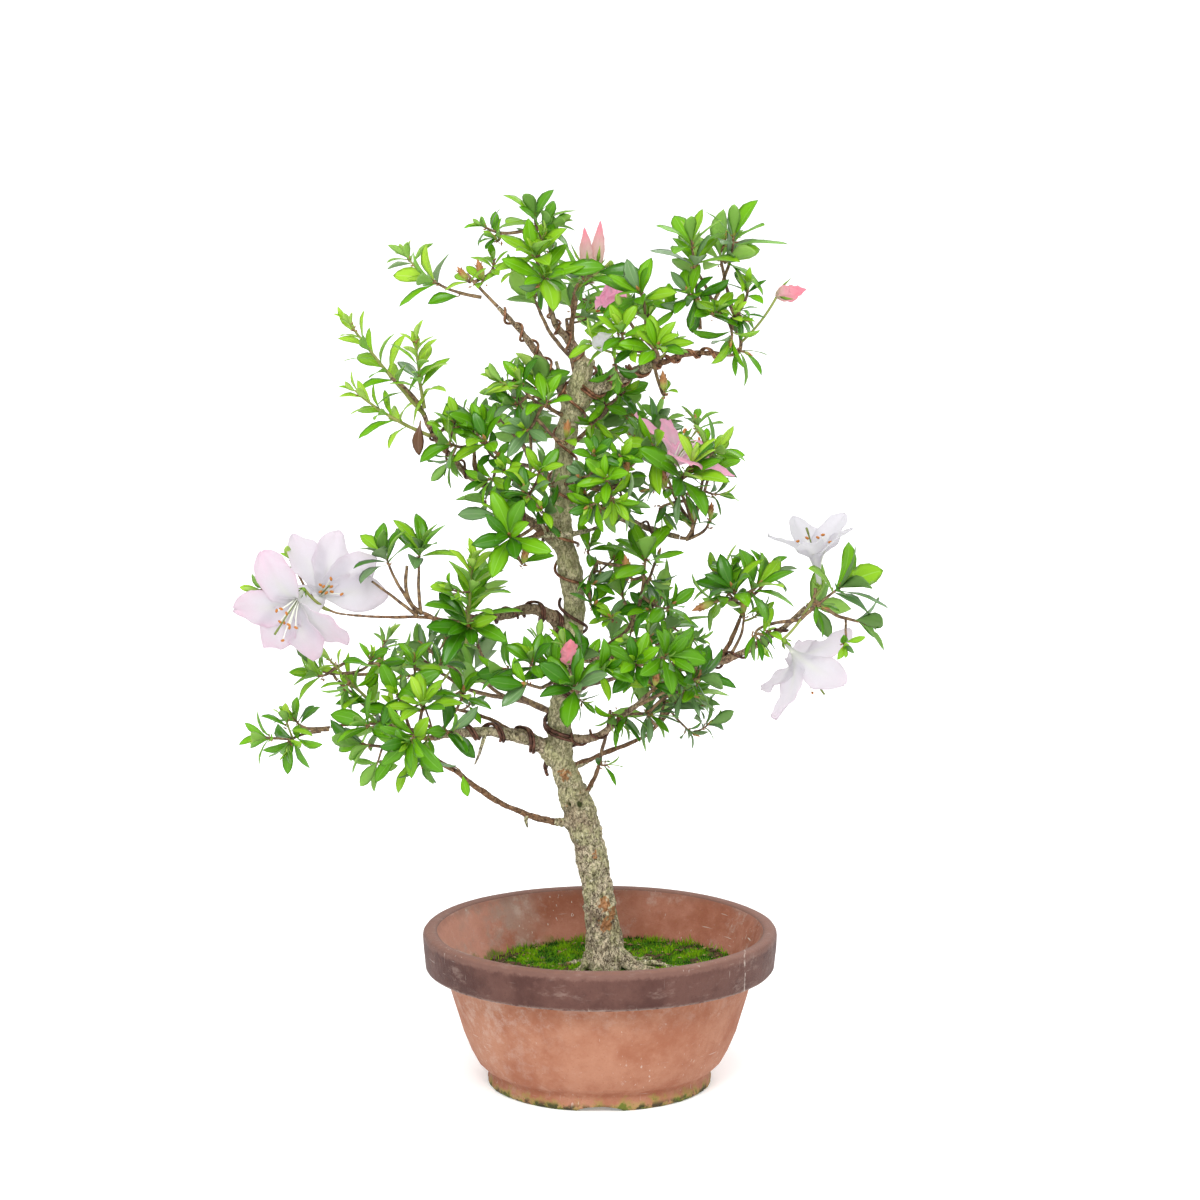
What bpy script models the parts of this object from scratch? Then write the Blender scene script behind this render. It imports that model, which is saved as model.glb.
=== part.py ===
"""An azalea grown as a bonsai, wound with training wire, in the terracotta bowl it stands in.

Metres, +Z up. The bowl stands on the plane z = 0. The tables give millimetres from the
bowl's axis, and angles in degrees: a heading of 0 runs to the right, 90 to the back.
"""

import math
import random

import bmesh
import bpy
import numpy
from mathutils import Matrix, Vector
from mathutils.bvhtree import BVHTree

MM = 0.001
UP = Vector((0.0, 0.0, 1.0))
GOLDEN_ANGLE = math.pi * (3.0 - math.sqrt(5.0))
CLEARANCE = 0.35 * MM  # between two solids that touch in the real plant

# ---- the bowl ----
BOWL_AXIS = (23.0 * MM, -6.0 * MM, 0.0)  # the crown leans off the bowl to the left
BOWL_HEIGHT = 105.0 * MM
BOWL_SIDES = 32
RIM_RADIUS = 120.0 * MM
RIM_DEPTH = 22.0 * MM
RIM_INNER_RADIUS = 110.0 * MM
WALL_THICKNESS = 8.0 * MM
# the wall's outside above the waist: how far it is outside the waist, and its height
WALL_BULGE = ((9.0 * MM, 38.0 * MM), (16.0 * MM, 60.0 * MM), (21.5 * MM, BOWL_HEIGHT - RIM_DEPTH))
WALL_CORNERS = (20.0 * MM, 40.0 * MM)  # heights at which the inside of the wall has corners
RIM_ROUND = 1.5 * MM
WAIST_RADIUS = 80.0 * MM
WAIST_HEIGHT = 16.0 * MM
FOOT_RADIUS = 76.0 * MM
FOOT_WIDTH = 13.0 * MM
FOOT_HOLLOW = 4.0 * MM
FLOOR_THICKNESS = 9.0 * MM
FLOOR_RADIUS = 53.0 * MM
DRAIN_RADIUS = 11.0 * MM
NOTCHES = 3
NOTCH_WIDTH = 30.0 * MM
NOTCH_HEIGHT = 3.5 * MM

# ---- soil and moss ----
SOIL_LEVEL = 77.5 * MM
SOIL_FLAT_RADIUS = 60.0 * MM
SOIL_SHOULDER = 78.0 * MM  # radius where the soil turns down towards the wall
SOIL_EDGE_DROP = 3.5 * MM

# ---- trunk: height, x, y and diameter of each station ----
TRUNK_SIDES = 11
TRUNK_STEP = 21.0 * MM
TRUNK_STATIONS = (
    (70, 5, 6, 44),
    (80, 4, 6, 40),
    (90, 4, 7, 29),
    (104, 2, 7, 23.5),
    (135, -2, 8, 20.5),
    (160, -7, 9, 21),
    (188, -15, 10, 24),
    (205, -21, 10, 22),
    (222, -26, 10, 18.5),
    (250, -27, 9, 16),
    (280, -21, 8, 15),
    (310, -18, 7, 14),
    (345, -19, 5, 15),
    (390, -27, 1, 14),
    (430, -24, 0, 13.5),
    (468, -17, 0, 15),
    (484, -12, 0, 13),
    (495, -9, 0, 12),
)
# name, heading, length, diameter where it leaves the trunk's foot
ROOT_TAPER = (1.0, 0.85, 0.6, 0.35)
ROOTS = (
    ("right", -8, 46, 11),
    ("front", -75, 30, 10),
    ("left", 205, 32, 12),
    ("back", 110, 34, 11),
)

# ---- limbs ----
# name, parent, where it leaves (height on the trunk, distance along a limb), length,
# headings and rises from root to tip, diameters at root and tip
LIMBS = (
    ("apex", "trunk", 487, 49, (195, 190, 205), (85, 40, 85), (10, 5)),
    ("apex_right", "apex", 22, 33, (80, 75), (60, 65), (4, 2.6)),
    ("high_left", "trunk", 462, 85, (190, 200, 180), (60, 55, 45), (12, 5)),
    ("high_right", "trunk", 464, 65, (340, 340, 335), (45, 20, 30), (12, 8)),
    ("high_right_outer", "high_right", 44, 70, (350, 370, 380), (25, 15, -15), (6, 3)),
    ("left_long", "trunk", 368, 134, (200, 190, 180, 180), (35, 40, 40, 70), (11, 4)),
    ("mid_left_outer", "left_long", 66, 28, (180, 275), (50, 70), (4, 3)),
    ("mid_left_inner", "trunk", 387, 42, (235, 230), (-20, -5), (5, 3)),
    ("mid_right", "trunk", 396, 83, (360, 350, 355), (0, -20, -15), (8, 4)),
    ("mid_left", "trunk", 298, 87, (210, 215, 210, 205), (70, 40, -15, 10), (13, 6)),
    ("left_twig", "mid_left", 60, 63, (210, 175, 165), (10, -25, 40), (4.5, 3)),
    ("left_blossom", "left_twig", 40, 73, (165, 190, 195), (10, 0, 10), (2.6, 2.2)),
    ("right", "trunk", 292, 171, (355, 345, 360, 360), (5, -10, 25, 45), (11, 4)),
    ("right_knot", "right", 18, 21, (35, -5), (30, 45), (5, 3.5)),
    ("right_upper", "right", 100, 34, (40, 40), (40, 65), (4.5, 3)),
    ("lower_left", "trunk", 221, 97, (200, 200, 200), (45, 10, -10), (15, 6)),
    ("lower_left_tip", "lower_left", 80, 90, (175, 150, 195), (0, 5, -10), (4, 2.6)),
    ("lower_left_inner", "lower_left", 38, 44, (165, 160), (35, 5), (4, 3)),
    ("long_low", "trunk", 177, 196, (185, 185, 175, 175), (0, 35, 35, 45), (5, 3)),
    ("lower_right", "trunk", 238, 80, (315, 330, 340), (-10, 35, 45), (8, 4.5)),
    ("lower_right_low", "trunk", 214, 58, (350, 350, 330), (25, 25, 25), (5, 3)),
    ("thin_shoot", "trunk", 190, 58, (330, 315, 305), (45, 65, 75), (4, 2.6)),
)
LIMB_SEGMENT = 15.0 * MM
THICK_LIMB = 7.5 * MM  # a limb over this diameter has more sides

# ---- training wire: name, limb, stretch that it is wound on, turns, diameter, first angle ----
WIRES = (
    ("wire_trunk", "trunk", 336, 360, 2, 2.2, 40),
    ("wire_mid_left", "mid_left", 24, 52, 4, 2.4, 0),
    ("wire_lower_left", "lower_left", 50, 74, 3, 2.8, 0),
)
WIRE_LIFT = 0.7 * MM
WIRE_POINTS_A_TURN = 8

# ---- masses of foliage ----
# name, limb, height on the trunk (None at a limb's tip), centre, reach, shoots, seed
MASSES = (
    ("apex", "apex", None, (-43, -5, 571), (30, 45, 47), 4, 7),
    ("high_left", "high_left", None, (-96, -10, 558), (56, 38, 30), 4, 27),
    ("apex_right", "apex_right", None, (0, 20, 553), (29, 40, 33), 3, 2),
    ("high_right_inner", "high_right", None, (27, -28, 514), (39, 42, 36), 4, 23),
    ("high_right_outer", "high_right_outer", None, (84, 2, 544), (42, 46, 63), 5, 26),
    ("mid_left_upper", "trunk", 456, (-50, -20, 475), (34, 38, 29), 3, 13),
    ("mid_left_outer", "mid_left_outer", None, (-85, -28, 445), (36, 42, 33), 4, 8),
    ("mid_left_inner", "mid_left_inner", None, (-53, -45, 404), (39, 42, 46), 4, 9),
    ("mid_right_upper", "trunk", 436, (5, 28, 455), (28, 36, 32), 3, 35),
    ("mid_centre", "trunk", 412, (4, -42, 412), (34, 38, 34), 3, 3),
    ("mid_right_outer", "mid_right", None, (51, -10, 421), (44, 48, 51), 4, 40),
    ("left_shoot", "left_long", None, (-146, -10, 487), (46, 40, 54), 5, 22),
    ("left_twigs", "left_twig", None, (-132, -20, 368), (41, 36, 34), 4, 4),
    ("left_blossoms", "left_blossom", None, (-197, -36, 337), (52, 48, 54), 3, 1),
    ("left_near", "mid_left", None, (-88, -45, 337), (35, 42, 43), 4, 29),
    ("lower_left_back", "long_low", None, (-168, 5, 291), (54, 42, 30), 4, 3),
    ("lower_left_front", "lower_left", None, (-132, -35, 248), (50, 48, 44), 4, 31),
    ("lower_left_tip", "lower_left_tip", None, (-212, 5, 241), (36, 38, 30), 4, 20),
    ("lower_left_inner", "lower_left_inner", None, (-95, 14, 270), (32, 34, 31), 3, 5),
    ("lower_centre", "trunk", 282, (-32, -62, 296), (46, 44, 36), 4, 11),
    ("right_knot", "right_knot", None, (28, 12, 336), (38, 40, 50), 4, 33),
    ("lower_right_inner", "lower_right", None, (36, -42, 299), (38, 40, 34), 3, 30),
    ("lower_right_low", "lower_right_low", None, (48, 5, 258), (47, 40, 32), 4, 35),
    ("low_spray", "thin_shoot", None, (8, -15, 264), (26, 30, 31), 2, 11),
    ("right_upper", "right_upper", None, (101, 8, 339), (50, 42, 32), 4, 40),
    ("right_outer", "right", None, (148, -12, 325), (51, 45, 50), 4, 34),
    ("back_apex", "trunk", 478, (-26, 72, 526), (40, 44, 36), 3, 1),
    ("back_left", "trunk", 410, (-62, 78, 433), (46, 46, 40), 3, 1),
    ("back_right", "trunk", 402, (22, 84, 424), (46, 46, 40), 3, 1),
    ("back_low_right", "trunk", 264, (34, 84, 290), (48, 44, 36), 3, 1),
    ("back_low_left", "trunk", 252, (-100, 84, 274), (50, 44, 36), 4, 2),
)
STEM_END = 0.72  # of the way from a stem's root to the middle of its mass
STEM_LEAST = 14.0 * MM
STEM_STRAIGHT = 1.5 * MM  # that a stem first runs straight on from its limb
STEM_BEND = 9.0 * MM
STEM_POINTS = 4
STEM_MOST_RADIUS = 2.2 * MM  # of a stem on a limb's tip
TRUNK_STEM_RADIUS = 1.2 * MM  # of a stem on the trunk, and what its length adds to that
TRUNK_STEM_GROWTH = 0.018
SPACE_EDGE = 1.08  # of a reach, which only the tips of leaves come to
SPACE_MARGIN = 0.05  # of a reach, kept between neighbouring masses
LIMB_MARGIN = 2.2 * MM  # kept between a leaf and a limb
SHOOT_DIAMETER = 2.0 * MM
SHOOT_TAPER = (0.7, 1.0, 1.1, 0.6)
SHOOT_SAG = 0.16
SHOOT_REACH = 0.62  # of a leaf's length, kept from a shoot's end to the outside of its mass
WHORL = 4
WHORL_TRIES = 8  # places round a shoot's end, of which the first four that are free bear a leaf
LOWER_LEAF = 0.6  # place along a shoot that bears one leaf more
LEAF_LENGTH = 33.0 * MM
LEAF_WIDTH = 13.0 * MM
LEAF_THICKNESS = 1.1 * MM
LEAF_ARCH = 0.06
LEAF_STALK = 0.16  # of a leaf's length, where it may come near its neighbours

# ---- blossom: mass, throat, facing, opening, length of a petal ----
BLOOMS = (
    ("left_blossoms", (-200, -56, 341), (-0.28, -0.85, -0.38), 66, 43),
    ("left_blossoms", (-184, -26, 342), (0.28, -0.80, 0.42), 62, 43),
    ("right_outer", (144, -15, 354), (-0.2, -0.2, 0.95), 42, 40),
    ("right_outer", (121, -22, 299), (0.68, -0.35, -0.58), 50, 42),
    ("mid_right_outer", (52, -34, 424), (0.1, -0.25, 0.95), 46, 42),
    ("apex_right", (5, 30, 545), (0.35, 0.45, 0.75), 48, 38),
)
# mass, middle, direction, length, diameter
BUDS = (
    ("apex_right", (-6, -10, 571), (0.1, -0.1, 1.0), 30, 10),
    ("high_right_outer", (124, 0, 536), (1.0, 0.0, 0.1), 22, 8),
    ("lower_centre", (-20, -88, 315), (0.2, -0.6, 0.8), 18, 11),
)
PETALS = 5
PETAL_WIDTH = 25.0 * MM
PETAL_THICKNESS = 1.2 * MM
PETAL_SHAPE = (0.5, 1.0, 0.62)  # of its full width, at the places below
PETAL_TWIST = 14.0  # degrees, so that each petal overlaps the next
PETAL_CURL = ((0.3, -14), (0.66, 4), (0.9, 12), (1.0, 14))  # place along it, degrees more open
THROAT_DEPTH = 15.0 * MM
THROAT_DIAMETER = 10.0 * MM
BLOOM_STALK = 1.2 * MM
BUD_STALK = 1.0 * MM
STALK_GAP = 3.0 * MM  # kept between a flower stalk and a limb
BUD_TAPER = (0.45, 1.0, 0.2)


def smooth_through(rows, step):
    """Rows of a Catmull-Rom curve through the given rows, the first column in even steps."""
    rows = [numpy.array(row, float) for row in rows]
    ends = [2 * rows[0] - rows[1], *rows, 2 * rows[-1] - rows[-2]]
    curve = []
    for before, start, end, after in zip(ends, ends[1:], ends[2:], ends[3:]):
        count = max(1, round(abs(end[0] - start[0]) / step))
        for i in range(count):
            t = i / count
            pull = (end - before) * t + (2 * before - 5 * start + 4 * end - after) * t**2
            pull += (3 * start - before - 3 * end + after) * t**3
            curve.append(start + pull / 2)
    curve.append(rows[-1])
    return curve


def direction(heading, rise):
    """The unit vector of a heading and a rise, both in degrees."""
    flat = math.cos(math.radians(rise))
    side = math.radians(heading)
    return Vector((flat * math.cos(side), flat * math.sin(side), math.sin(math.radians(rise))))


def frames(points):
    """At each point of a path, the directions along it and across it, carried without twist."""
    found = []
    across = None
    for i, point in enumerate(points):
        along = (points[min(i + 1, len(points) - 1)] - points[max(i - 1, 0)]).normalized()
        if across is None:
            side = UP if abs(along.z) < 0.9 else Vector((1.0, 0.0, 0.0))
            across = along.cross(side)
        across = (across - along * across.dot(along)).normalized()
        found.append((point, along, across, along.cross(across)))
    return found


def mesh_object(name, points, faces):
    """A new object from points and faces, with its faces turned outwards."""
    mesh = bpy.data.meshes.new(name)
    mesh.from_pydata([tuple(point) for point in points], [], faces)
    work = bmesh.new()
    work.from_mesh(mesh)
    bmesh.ops.recalc_face_normals(work, faces=work.faces)
    work.to_mesh(mesh)
    work.free()
    obj = bpy.data.objects.new(name, mesh)
    bpy.context.scene.collection.objects.link(obj)
    return obj


def tube_shape(points, radii, sides):
    """The points and faces of a closed tube with flat ends."""
    vertices = []
    for (point, _, across, other), radius in zip(frames(points), radii):
        for i in range(sides):
            turn = 2 * math.pi * i / sides
            vertices.append(point + (across * math.cos(turn) + other * math.sin(turn)) * radius)
    faces = [list(range(sides)), list(range(len(vertices) - sides, len(vertices)))]
    for ring in range(0, len(vertices) - sides, sides):
        for i in range(sides):
            beside = (i + 1) % sides
            faces.append([ring + i, ring + beside, ring + sides + beside, ring + sides + i])
    return vertices, faces


def tube(name, points, radii, sides):
    """A closed tube along the points, as an object."""
    return mesh_object(name, *tube_shape(points, radii, sides))


def turned(name, profile, sides):
    """A solid turned about the Z axis from a closed profile of (radius, height) pairs."""
    rings = []
    vertices = []
    for radius, height in profile:
        count = sides if radius > 0 else 1
        rings.append(range(len(vertices), len(vertices) + count))
        for i in range(count):
            turn = 2 * math.pi * i / sides
            vertices.append((radius * math.cos(turn), radius * math.sin(turn), height))
    faces = []
    for first, second in zip(rings, rings[1:] + rings[:1]):
        if len(first) == len(second) == 1:
            continue
        for i in range(sides):
            j = (i + 1) % sides
            corners = [first[i % len(first)], first[j % len(first)]]
            corners += [second[j % len(second)], second[i % len(second)]]
            faces.append(list(dict.fromkeys(corners)))
    return mesh_object(name, vertices, faces)


def blade_shape(path, widths, thickness, normal):
    """The points and faces of a thin blade along a path: pointed ends, and a keel under it."""
    vertices = [path[0]]
    for (point, along, _, _), width in zip(frames(path)[1:-1], widths):
        side = along.cross(normal).normalized()
        keel = along.cross(side) * thickness
        vertices += [point - side * width / 2, point + side * width / 2, point + keel]
    vertices.append(path[-1])
    last = len(vertices) - 1
    faces = []
    for i in range(3):
        j = (i + 1) % 3
        faces.append([0, 1 + i, 1 + j])
        faces.append([last, last - 3 + j, last - 3 + i])
        for ring in range(1, last - 3, 3):
            faces.append([ring + i, ring + 3 + i, ring + 3 + j, ring + j])
    return vertices, faces


def blade(name, path, widths, thickness, normal):
    """A thin blade along a path, as an object."""
    return mesh_object(name, *blade_shape(path, widths, thickness, normal))


def apply_modifiers(obj):
    """Makes the object's modifiers part of its mesh."""
    graph = bpy.context.evaluated_depsgraph_get()
    mesh = bpy.data.meshes.new_from_object(obj.evaluated_get(graph))
    obj.modifiers.clear()
    obj.data = mesh


def boolean(obj, operation, other):
    """Joins the other object to this one, or cuts it away, and removes it."""
    modifier = obj.modifiers.new(operation.title(), "BOOLEAN")
    modifier.operation = operation
    modifier.object = other
    apply_modifiers(obj)
    bpy.data.objects.remove(other)


def fuse(name, pieces):
    """One object from overlapping pieces, by a single Boolean union."""
    group = bpy.data.collections.new(name + "_pieces")
    bpy.context.scene.collection.children.link(group)
    for piece in pieces[1:]:
        bpy.context.scene.collection.objects.unlink(piece)
        group.objects.link(piece)
    modifier = pieces[0].modifiers.new("Union", "BOOLEAN")
    modifier.operation = "UNION"
    modifier.operand_type = "COLLECTION"
    modifier.collection = group
    apply_modifiers(pieces[0])
    for piece in list(group.objects):
        bpy.data.objects.remove(piece)
    bpy.data.collections.remove(group)
    keep_largest(pieces[0])
    pieces[0].name = name
    return pieces[0]


def keep_largest(obj):
    """Drops the scraps that a cut leaves loose."""
    work = bmesh.new()
    work.from_mesh(obj.data)
    left = set(work.verts)
    bodies = []
    while left:
        body = set()
        edge = {left.pop()}
        while edge:
            body |= edge
            edge = {link.other_vert(point) for point in edge for link in point.link_edges} - body
        left -= body
        bodies.append(body)
    scraps = [point for body in sorted(bodies, key=len)[:-1] for point in body]
    bmesh.ops.delete(work, geom=scraps, context="VERTS")
    work.to_mesh(obj.data)
    work.free()


def finish(obj, colour, roughness, parent, smooth_angle=40):
    """Gives an object its own material, shades its round faces smooth and hangs it on its parent."""
    material = bpy.data.materials.new(obj.name)
    material.use_nodes = True
    shader = material.node_tree.nodes["Principled BSDF"]
    shader.inputs["Base Color"].default_value = (*colour, 1.0)
    shader.inputs["Roughness"].default_value = roughness
    shader.inputs["Metallic"].default_value = 0.0
    obj.data.materials.clear()
    obj.data.materials.append(material)
    obj.data.shade_smooth()
    obj.data.set_sharp_from_angle(angle=math.radians(smooth_angle))
    obj.parent = parent


class Limb:
    """The trunk or a limb: its axis as a path, and its radius at each point."""

    def __init__(self, name, points, radii):
        self.name = name
        self.points = points
        self.radii = radii
        self.sides = 8 if radii[0] * 2 > THICK_LIMB else 6
        self.lengths = [0.0]
        for start, end in zip(points, points[1:]):
            self.lengths.append(self.lengths[-1] + (end - start).length)

    def at(self, distance):
        """The point at a distance along the axis, or at a height on the trunk."""
        marks = [point.z for point in self.points] if self.name == "trunk" else self.lengths
        places = numpy.array(self.points)
        return Vector([numpy.interp(distance, marks, places[:, i]) for i in range(3)])

    def radius_at(self, distance):
        """The radius at a distance along the axis, or at a height on the trunk."""
        marks = [point.z for point in self.points] if self.name == "trunk" else self.lengths
        return float(numpy.interp(distance, marks, self.radii))

    def solid(self, name, extra=0.0):
        """The limb's tube, made thicker and longer by the extra."""
        points = list(self.points)
        points[0] = points[0] + (points[0] - points[1]).normalized() * extra
        points[-1] = points[-1] + (points[-1] - points[-2]).normalized() * extra
        return tube(name, points, [radius + extra for radius in self.radii], self.sides)


def trunk_axis():
    """The trunk from below the soil's surface to the flat cut at its top."""
    rows = smooth_through(TRUNK_STATIONS, TRUNK_STEP / MM)
    trunk = Limb(
        "trunk",
        [Vector((x, y, height)) * MM for height, x, y, _ in rows],
        [diameter / 2 * MM for *_, diameter in rows],
    )
    trunk.sides = TRUNK_SIDES
    return trunk


def limb_axis(name, parent, place, length, headings, rises, diameters):
    """A limb that leaves its parent's axis and bends evenly through its headings and rises."""
    count = max(4, round(length * MM / LIMB_SEGMENT))
    point = parent.at(place * MM)
    points = [point]
    for i in range(count):
        t = (i + 0.5) / count
        heading = numpy.interp(t * (len(headings) - 1), range(len(headings)), headings)
        rise = numpy.interp(t * (len(rises) - 1), range(len(rises)), rises)
        point = point + direction(heading, rise) * (length * MM / count)
        points.append(point)
    root, tip = diameters
    radii = [(root + (tip - root) * (i / count) ** 0.8) / 2 * MM for i in range(count + 1)]
    return Limb(name, points, radii)


def wire_path(limb, start, end, turns, diameter, first):
    """The helix of a wire wound on a stretch of a limb, just off the bark."""
    count = turns * WIRE_POINTS_A_TURN
    axis = [limb.at((start + (end - start) * i / count) * MM) for i in range(count + 1)]
    path = []
    for i, (point, _, across, other) in enumerate(frames(axis)):
        radius = limb.radius_at((start + (end - start) * i / count) * MM)
        radius = (radius + diameter / 2 * MM + WIRE_LIFT) / math.cos(math.pi / WIRE_POINTS_A_TURN)
        turn = math.radians(first) + 2 * math.pi * i / WIRE_POINTS_A_TURN
        path.append(point + (across * math.cos(turn) + other * math.sin(turn)) * radius)
    return path


class Mass:
    """A mass of foliage: the ellipsoid it keeps to, and the stem that carries it."""

    def __init__(self, row, limbs):
        self.name, limb, place, centre, reach, self.shoots, self.seed = row
        self.limb = limbs[limb]
        self.centre = Vector(centre) * MM
        self.reach = Vector(reach) * MM
        if place is None:
            along = (self.limb.points[-1] - self.limb.points[-2]).normalized()
            root = self.limb.points[-1] + along * CLEARANCE
            self.stem_radius = min(self.limb.radii[-1] * 0.85, STEM_MOST_RADIUS)
        else:
            root = self.limb.at(place * MM)
            outward = self.centre - root
            level = Vector((outward.x, outward.y, 0.0)).normalized()
            along = (outward.normalized() + level).normalized()
            self.stem_radius = TRUNK_STEM_RADIUS + TRUNK_STEM_GROWTH * outward.length
        self.on_trunk = place is not None
        hub = root.lerp(self.centre + UP * self.reach.z * 0.1, STEM_END)
        if (hub - root).length < STEM_LEAST:
            hub = root + (along + UP).normalized() * STEM_LEAST
        bend = root + along * max((hub - root).length * 0.5, STEM_BEND)
        self.stem = [root, *curve(root + along * STEM_STRAIGHT, bend, hub, STEM_POINTS)]

    def level(self, point):
        """0 at the mass's centre and 1 on the outside of its space."""
        offset = point - self.centre
        return math.sqrt(sum((offset[i] / self.reach[i]) ** 2 for i in range(3)))


def curve(start, bend, end, count):
    """Points of a quadratic curve that leaves the start towards the bend."""
    steps = [i / count for i in range(count + 1)]
    return [start * (1 - t) ** 2 + bend * 2 * t * (1 - t) + end * t**2 for t in steps]


class Space:
    """What foliage has to keep clear of: limbs, stems and blossom, as thick line segments."""

    def __init__(self, limbs, masses):
        self.masses = masses
        self.starts, self.ends, self.radii, self.owners = [], [], [], []
        for limb in limbs.values():
            self.add(limb.points, limb.radii, None)
        for mass in masses:
            self.add(mass.stem, [mass.stem_radius] * len(mass.stem), mass.name)
        for _, *bloom in BLOOMS:
            for path in petal_paths(*bloom):
                self.add([path[1], path[-1]], [PETAL_WIDTH * 0.3], "bloom")
        self.starts, self.ends = numpy.array(self.starts), numpy.array(self.ends)
        self.radii, self.owners = numpy.array(self.radii), numpy.array(self.owners)

    def add(self, points, radii, owner):
        for start, end, radius in zip(points, points[1:], radii):
            self.starts.append(tuple(start))
            self.ends.append(tuple(end))
            self.radii.append(radius)
            self.owners.append(owner or "")

    def nearest(self, point, owner):
        """The gap to the nearest limb, stem or bloom that isn't the owner's, and the way from it."""
        point = numpy.array(point)
        along = self.ends - self.starts
        t = ((point - self.starts) * along).sum(1) / (along * along).sum(1)
        away = point - (self.starts + along * t.clip(0, 1)[:, None])
        gaps = numpy.sqrt((away**2).sum(1)) - self.radii
        gaps[self.owners == owner] = numpy.inf
        return gaps.min(), Vector(away[gaps.argmin()]).normalized()

    def free(self, mass, points, margin=LIMB_MARGIN):
        """Whether all the points are in the mass's own space and clear of the limbs."""
        for point in points:
            own = mass.level(point)
            if own > SPACE_EDGE or self.nearest(point, mass.name)[0] < margin:
                return False
            others = (other.level(point) for other in self.masses if other is not mass)
            if min(others) < own + SPACE_MARGIN:
                return False
        return True


def leaf_shape(root, along, normal, length, bare=0.0):
    """The shape of a leaf that arches a little, without a bare share of its length at the root."""
    middle = root + along * length * 0.5 + normal * length * LEAF_ARCH
    path = [root.lerp(middle, bare * 2), middle, root + along * length]
    return blade_shape(path, [LEAF_WIDTH * length / LEAF_LENGTH], LEAF_THICKNESS, normal)


def shoot_leaves(rng, path, along):
    """Places, directions and lengths of the leaves on one shoot: a whorl, and one below it."""
    side = along.cross(UP if abs(along.z) < 0.9 else Vector((1.0, 0.0, 0.0))).normalized()
    start = rng.uniform(0, 2 * math.pi)
    leaves = []
    for i in range(WHORL_TRIES + 1):
        around = Matrix.Rotation(start + i * GOLDEN_ANGLE, 3, along) @ side
        opening = math.radians(34 + 44 * i / WHORL_TRIES + rng.uniform(-6, 6))
        place = (1.0 + i * 1.1) * MM / (path[-1] - path[-2]).length
        if i == WHORL_TRIES:
            place = 1 - LOWER_LEAF
        root = path[-1].lerp(path[-2], place)
        heading = along * math.cos(opening) + around * math.sin(opening)
        normal = (along * math.sin(opening) - around * math.cos(opening)).normalized()
        leaves.append((root, heading, normal, LEAF_LENGTH * rng.uniform(0.82, 1.05)))
    return leaves


def grow(mass, space):
    """The shoots of a mass as (path, radius) and its leaves as (root, direction, normal, length)."""
    rng = random.Random(mass.seed)
    turn = rng.uniform(0, 2 * math.pi)
    tries = list(range(mass.shoots * 3))
    rng.shuffle(tries)
    shoots, leaves, twigs, placed = [], [], [], []
    for i in tries:
        if len(shoots) == mass.shoots:
            break
        height = 0.95 - 1.35 * (i + 0.5) / len(tries)
        flat = math.sqrt(1 - height * height)
        azimuth = turn + i * GOLDEN_ANGLE
        offset = Vector((flat * math.cos(azimuth), flat * math.sin(azimuth), height))
        radius = 1 / Vector([offset[k] / mass.reach[k] for k in range(3)]).length
        distance = max(radius * 0.2, radius - LEAF_LENGTH * SHOOT_REACH) * rng.uniform(0.85, 1.1)
        tip = mass.centre + offset * distance
        place = (0.95 - 0.55 * i / len(tries)) * (len(mass.stem) - 1)
        index = min(int(place), len(mass.stem) - 2)
        start = mass.stem[index].lerp(mass.stem[index + 1], place - index)
        bend = start.lerp(tip, 0.6) - UP * (tip - start).length * SHOOT_SAG
        path = curve(start, bend, tip, 2)
        near = min(space.nearest(start.lerp(point, 0.5), mass.name)[0] for point in path[1:])
        if near < SHOOT_DIAMETER or not space.free(mass, [tip], SHOOT_DIAMETER):
            continue
        twig = BVHTree.FromPolygons(*tube_shape(path, [SHOOT_DIAMETER] * len(path), 3))
        if any(leaf.overlap(twig) for leaf in placed):
            continue
        along = (path[-1] - path[-2]).normalized()
        along = (along + offset * 0.5 + UP * 0.3).normalized()
        kept = 0
        for leaf in shoot_leaves(rng, path, along):
            vertices, faces = leaf_shape(*leaf, bare=LEAF_STALK)
            tree = BVHTree.FromPolygons(vertices, faces)
            tests = [*vertices[1:], (vertices[0] + vertices[-1]) / 2]
            if any(other.overlap(tree) for other in placed + twigs) or not space.free(mass, tests):
                continue
            if kept == WHORL:
                break
            placed.append(tree)
            leaves.append(leaf)
            kept += 1
        if kept:
            shoots.append((path, along))
            twigs.append(twig)
    return shoots, leaves


def petal_paths(throat, facing, opening, petal):
    """The midlines of a bloom's five petals, which curl back towards their tips."""
    facing = Vector(facing).normalized()
    throat = Vector(throat) * MM
    side = facing.cross(UP if abs(facing.z) < 0.9 else Vector((0.0, 1.0, 0.0))).normalized()
    paths = []
    for i in range(PETALS):
        around = Matrix.Rotation(2 * math.pi * (i + 0.25) / PETALS, 3, facing) @ side
        path = [throat - facing * 4.0 * MM + around * THROAT_DIAMETER * 0.18]
        for share, extra in PETAL_CURL:
            lean = math.radians(opening + extra)
            outward = facing * math.cos(lean) + around * math.sin(lean)
            path.append(path[0] + outward * petal * share * MM)
        paths.append(path)
    return paths


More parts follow.
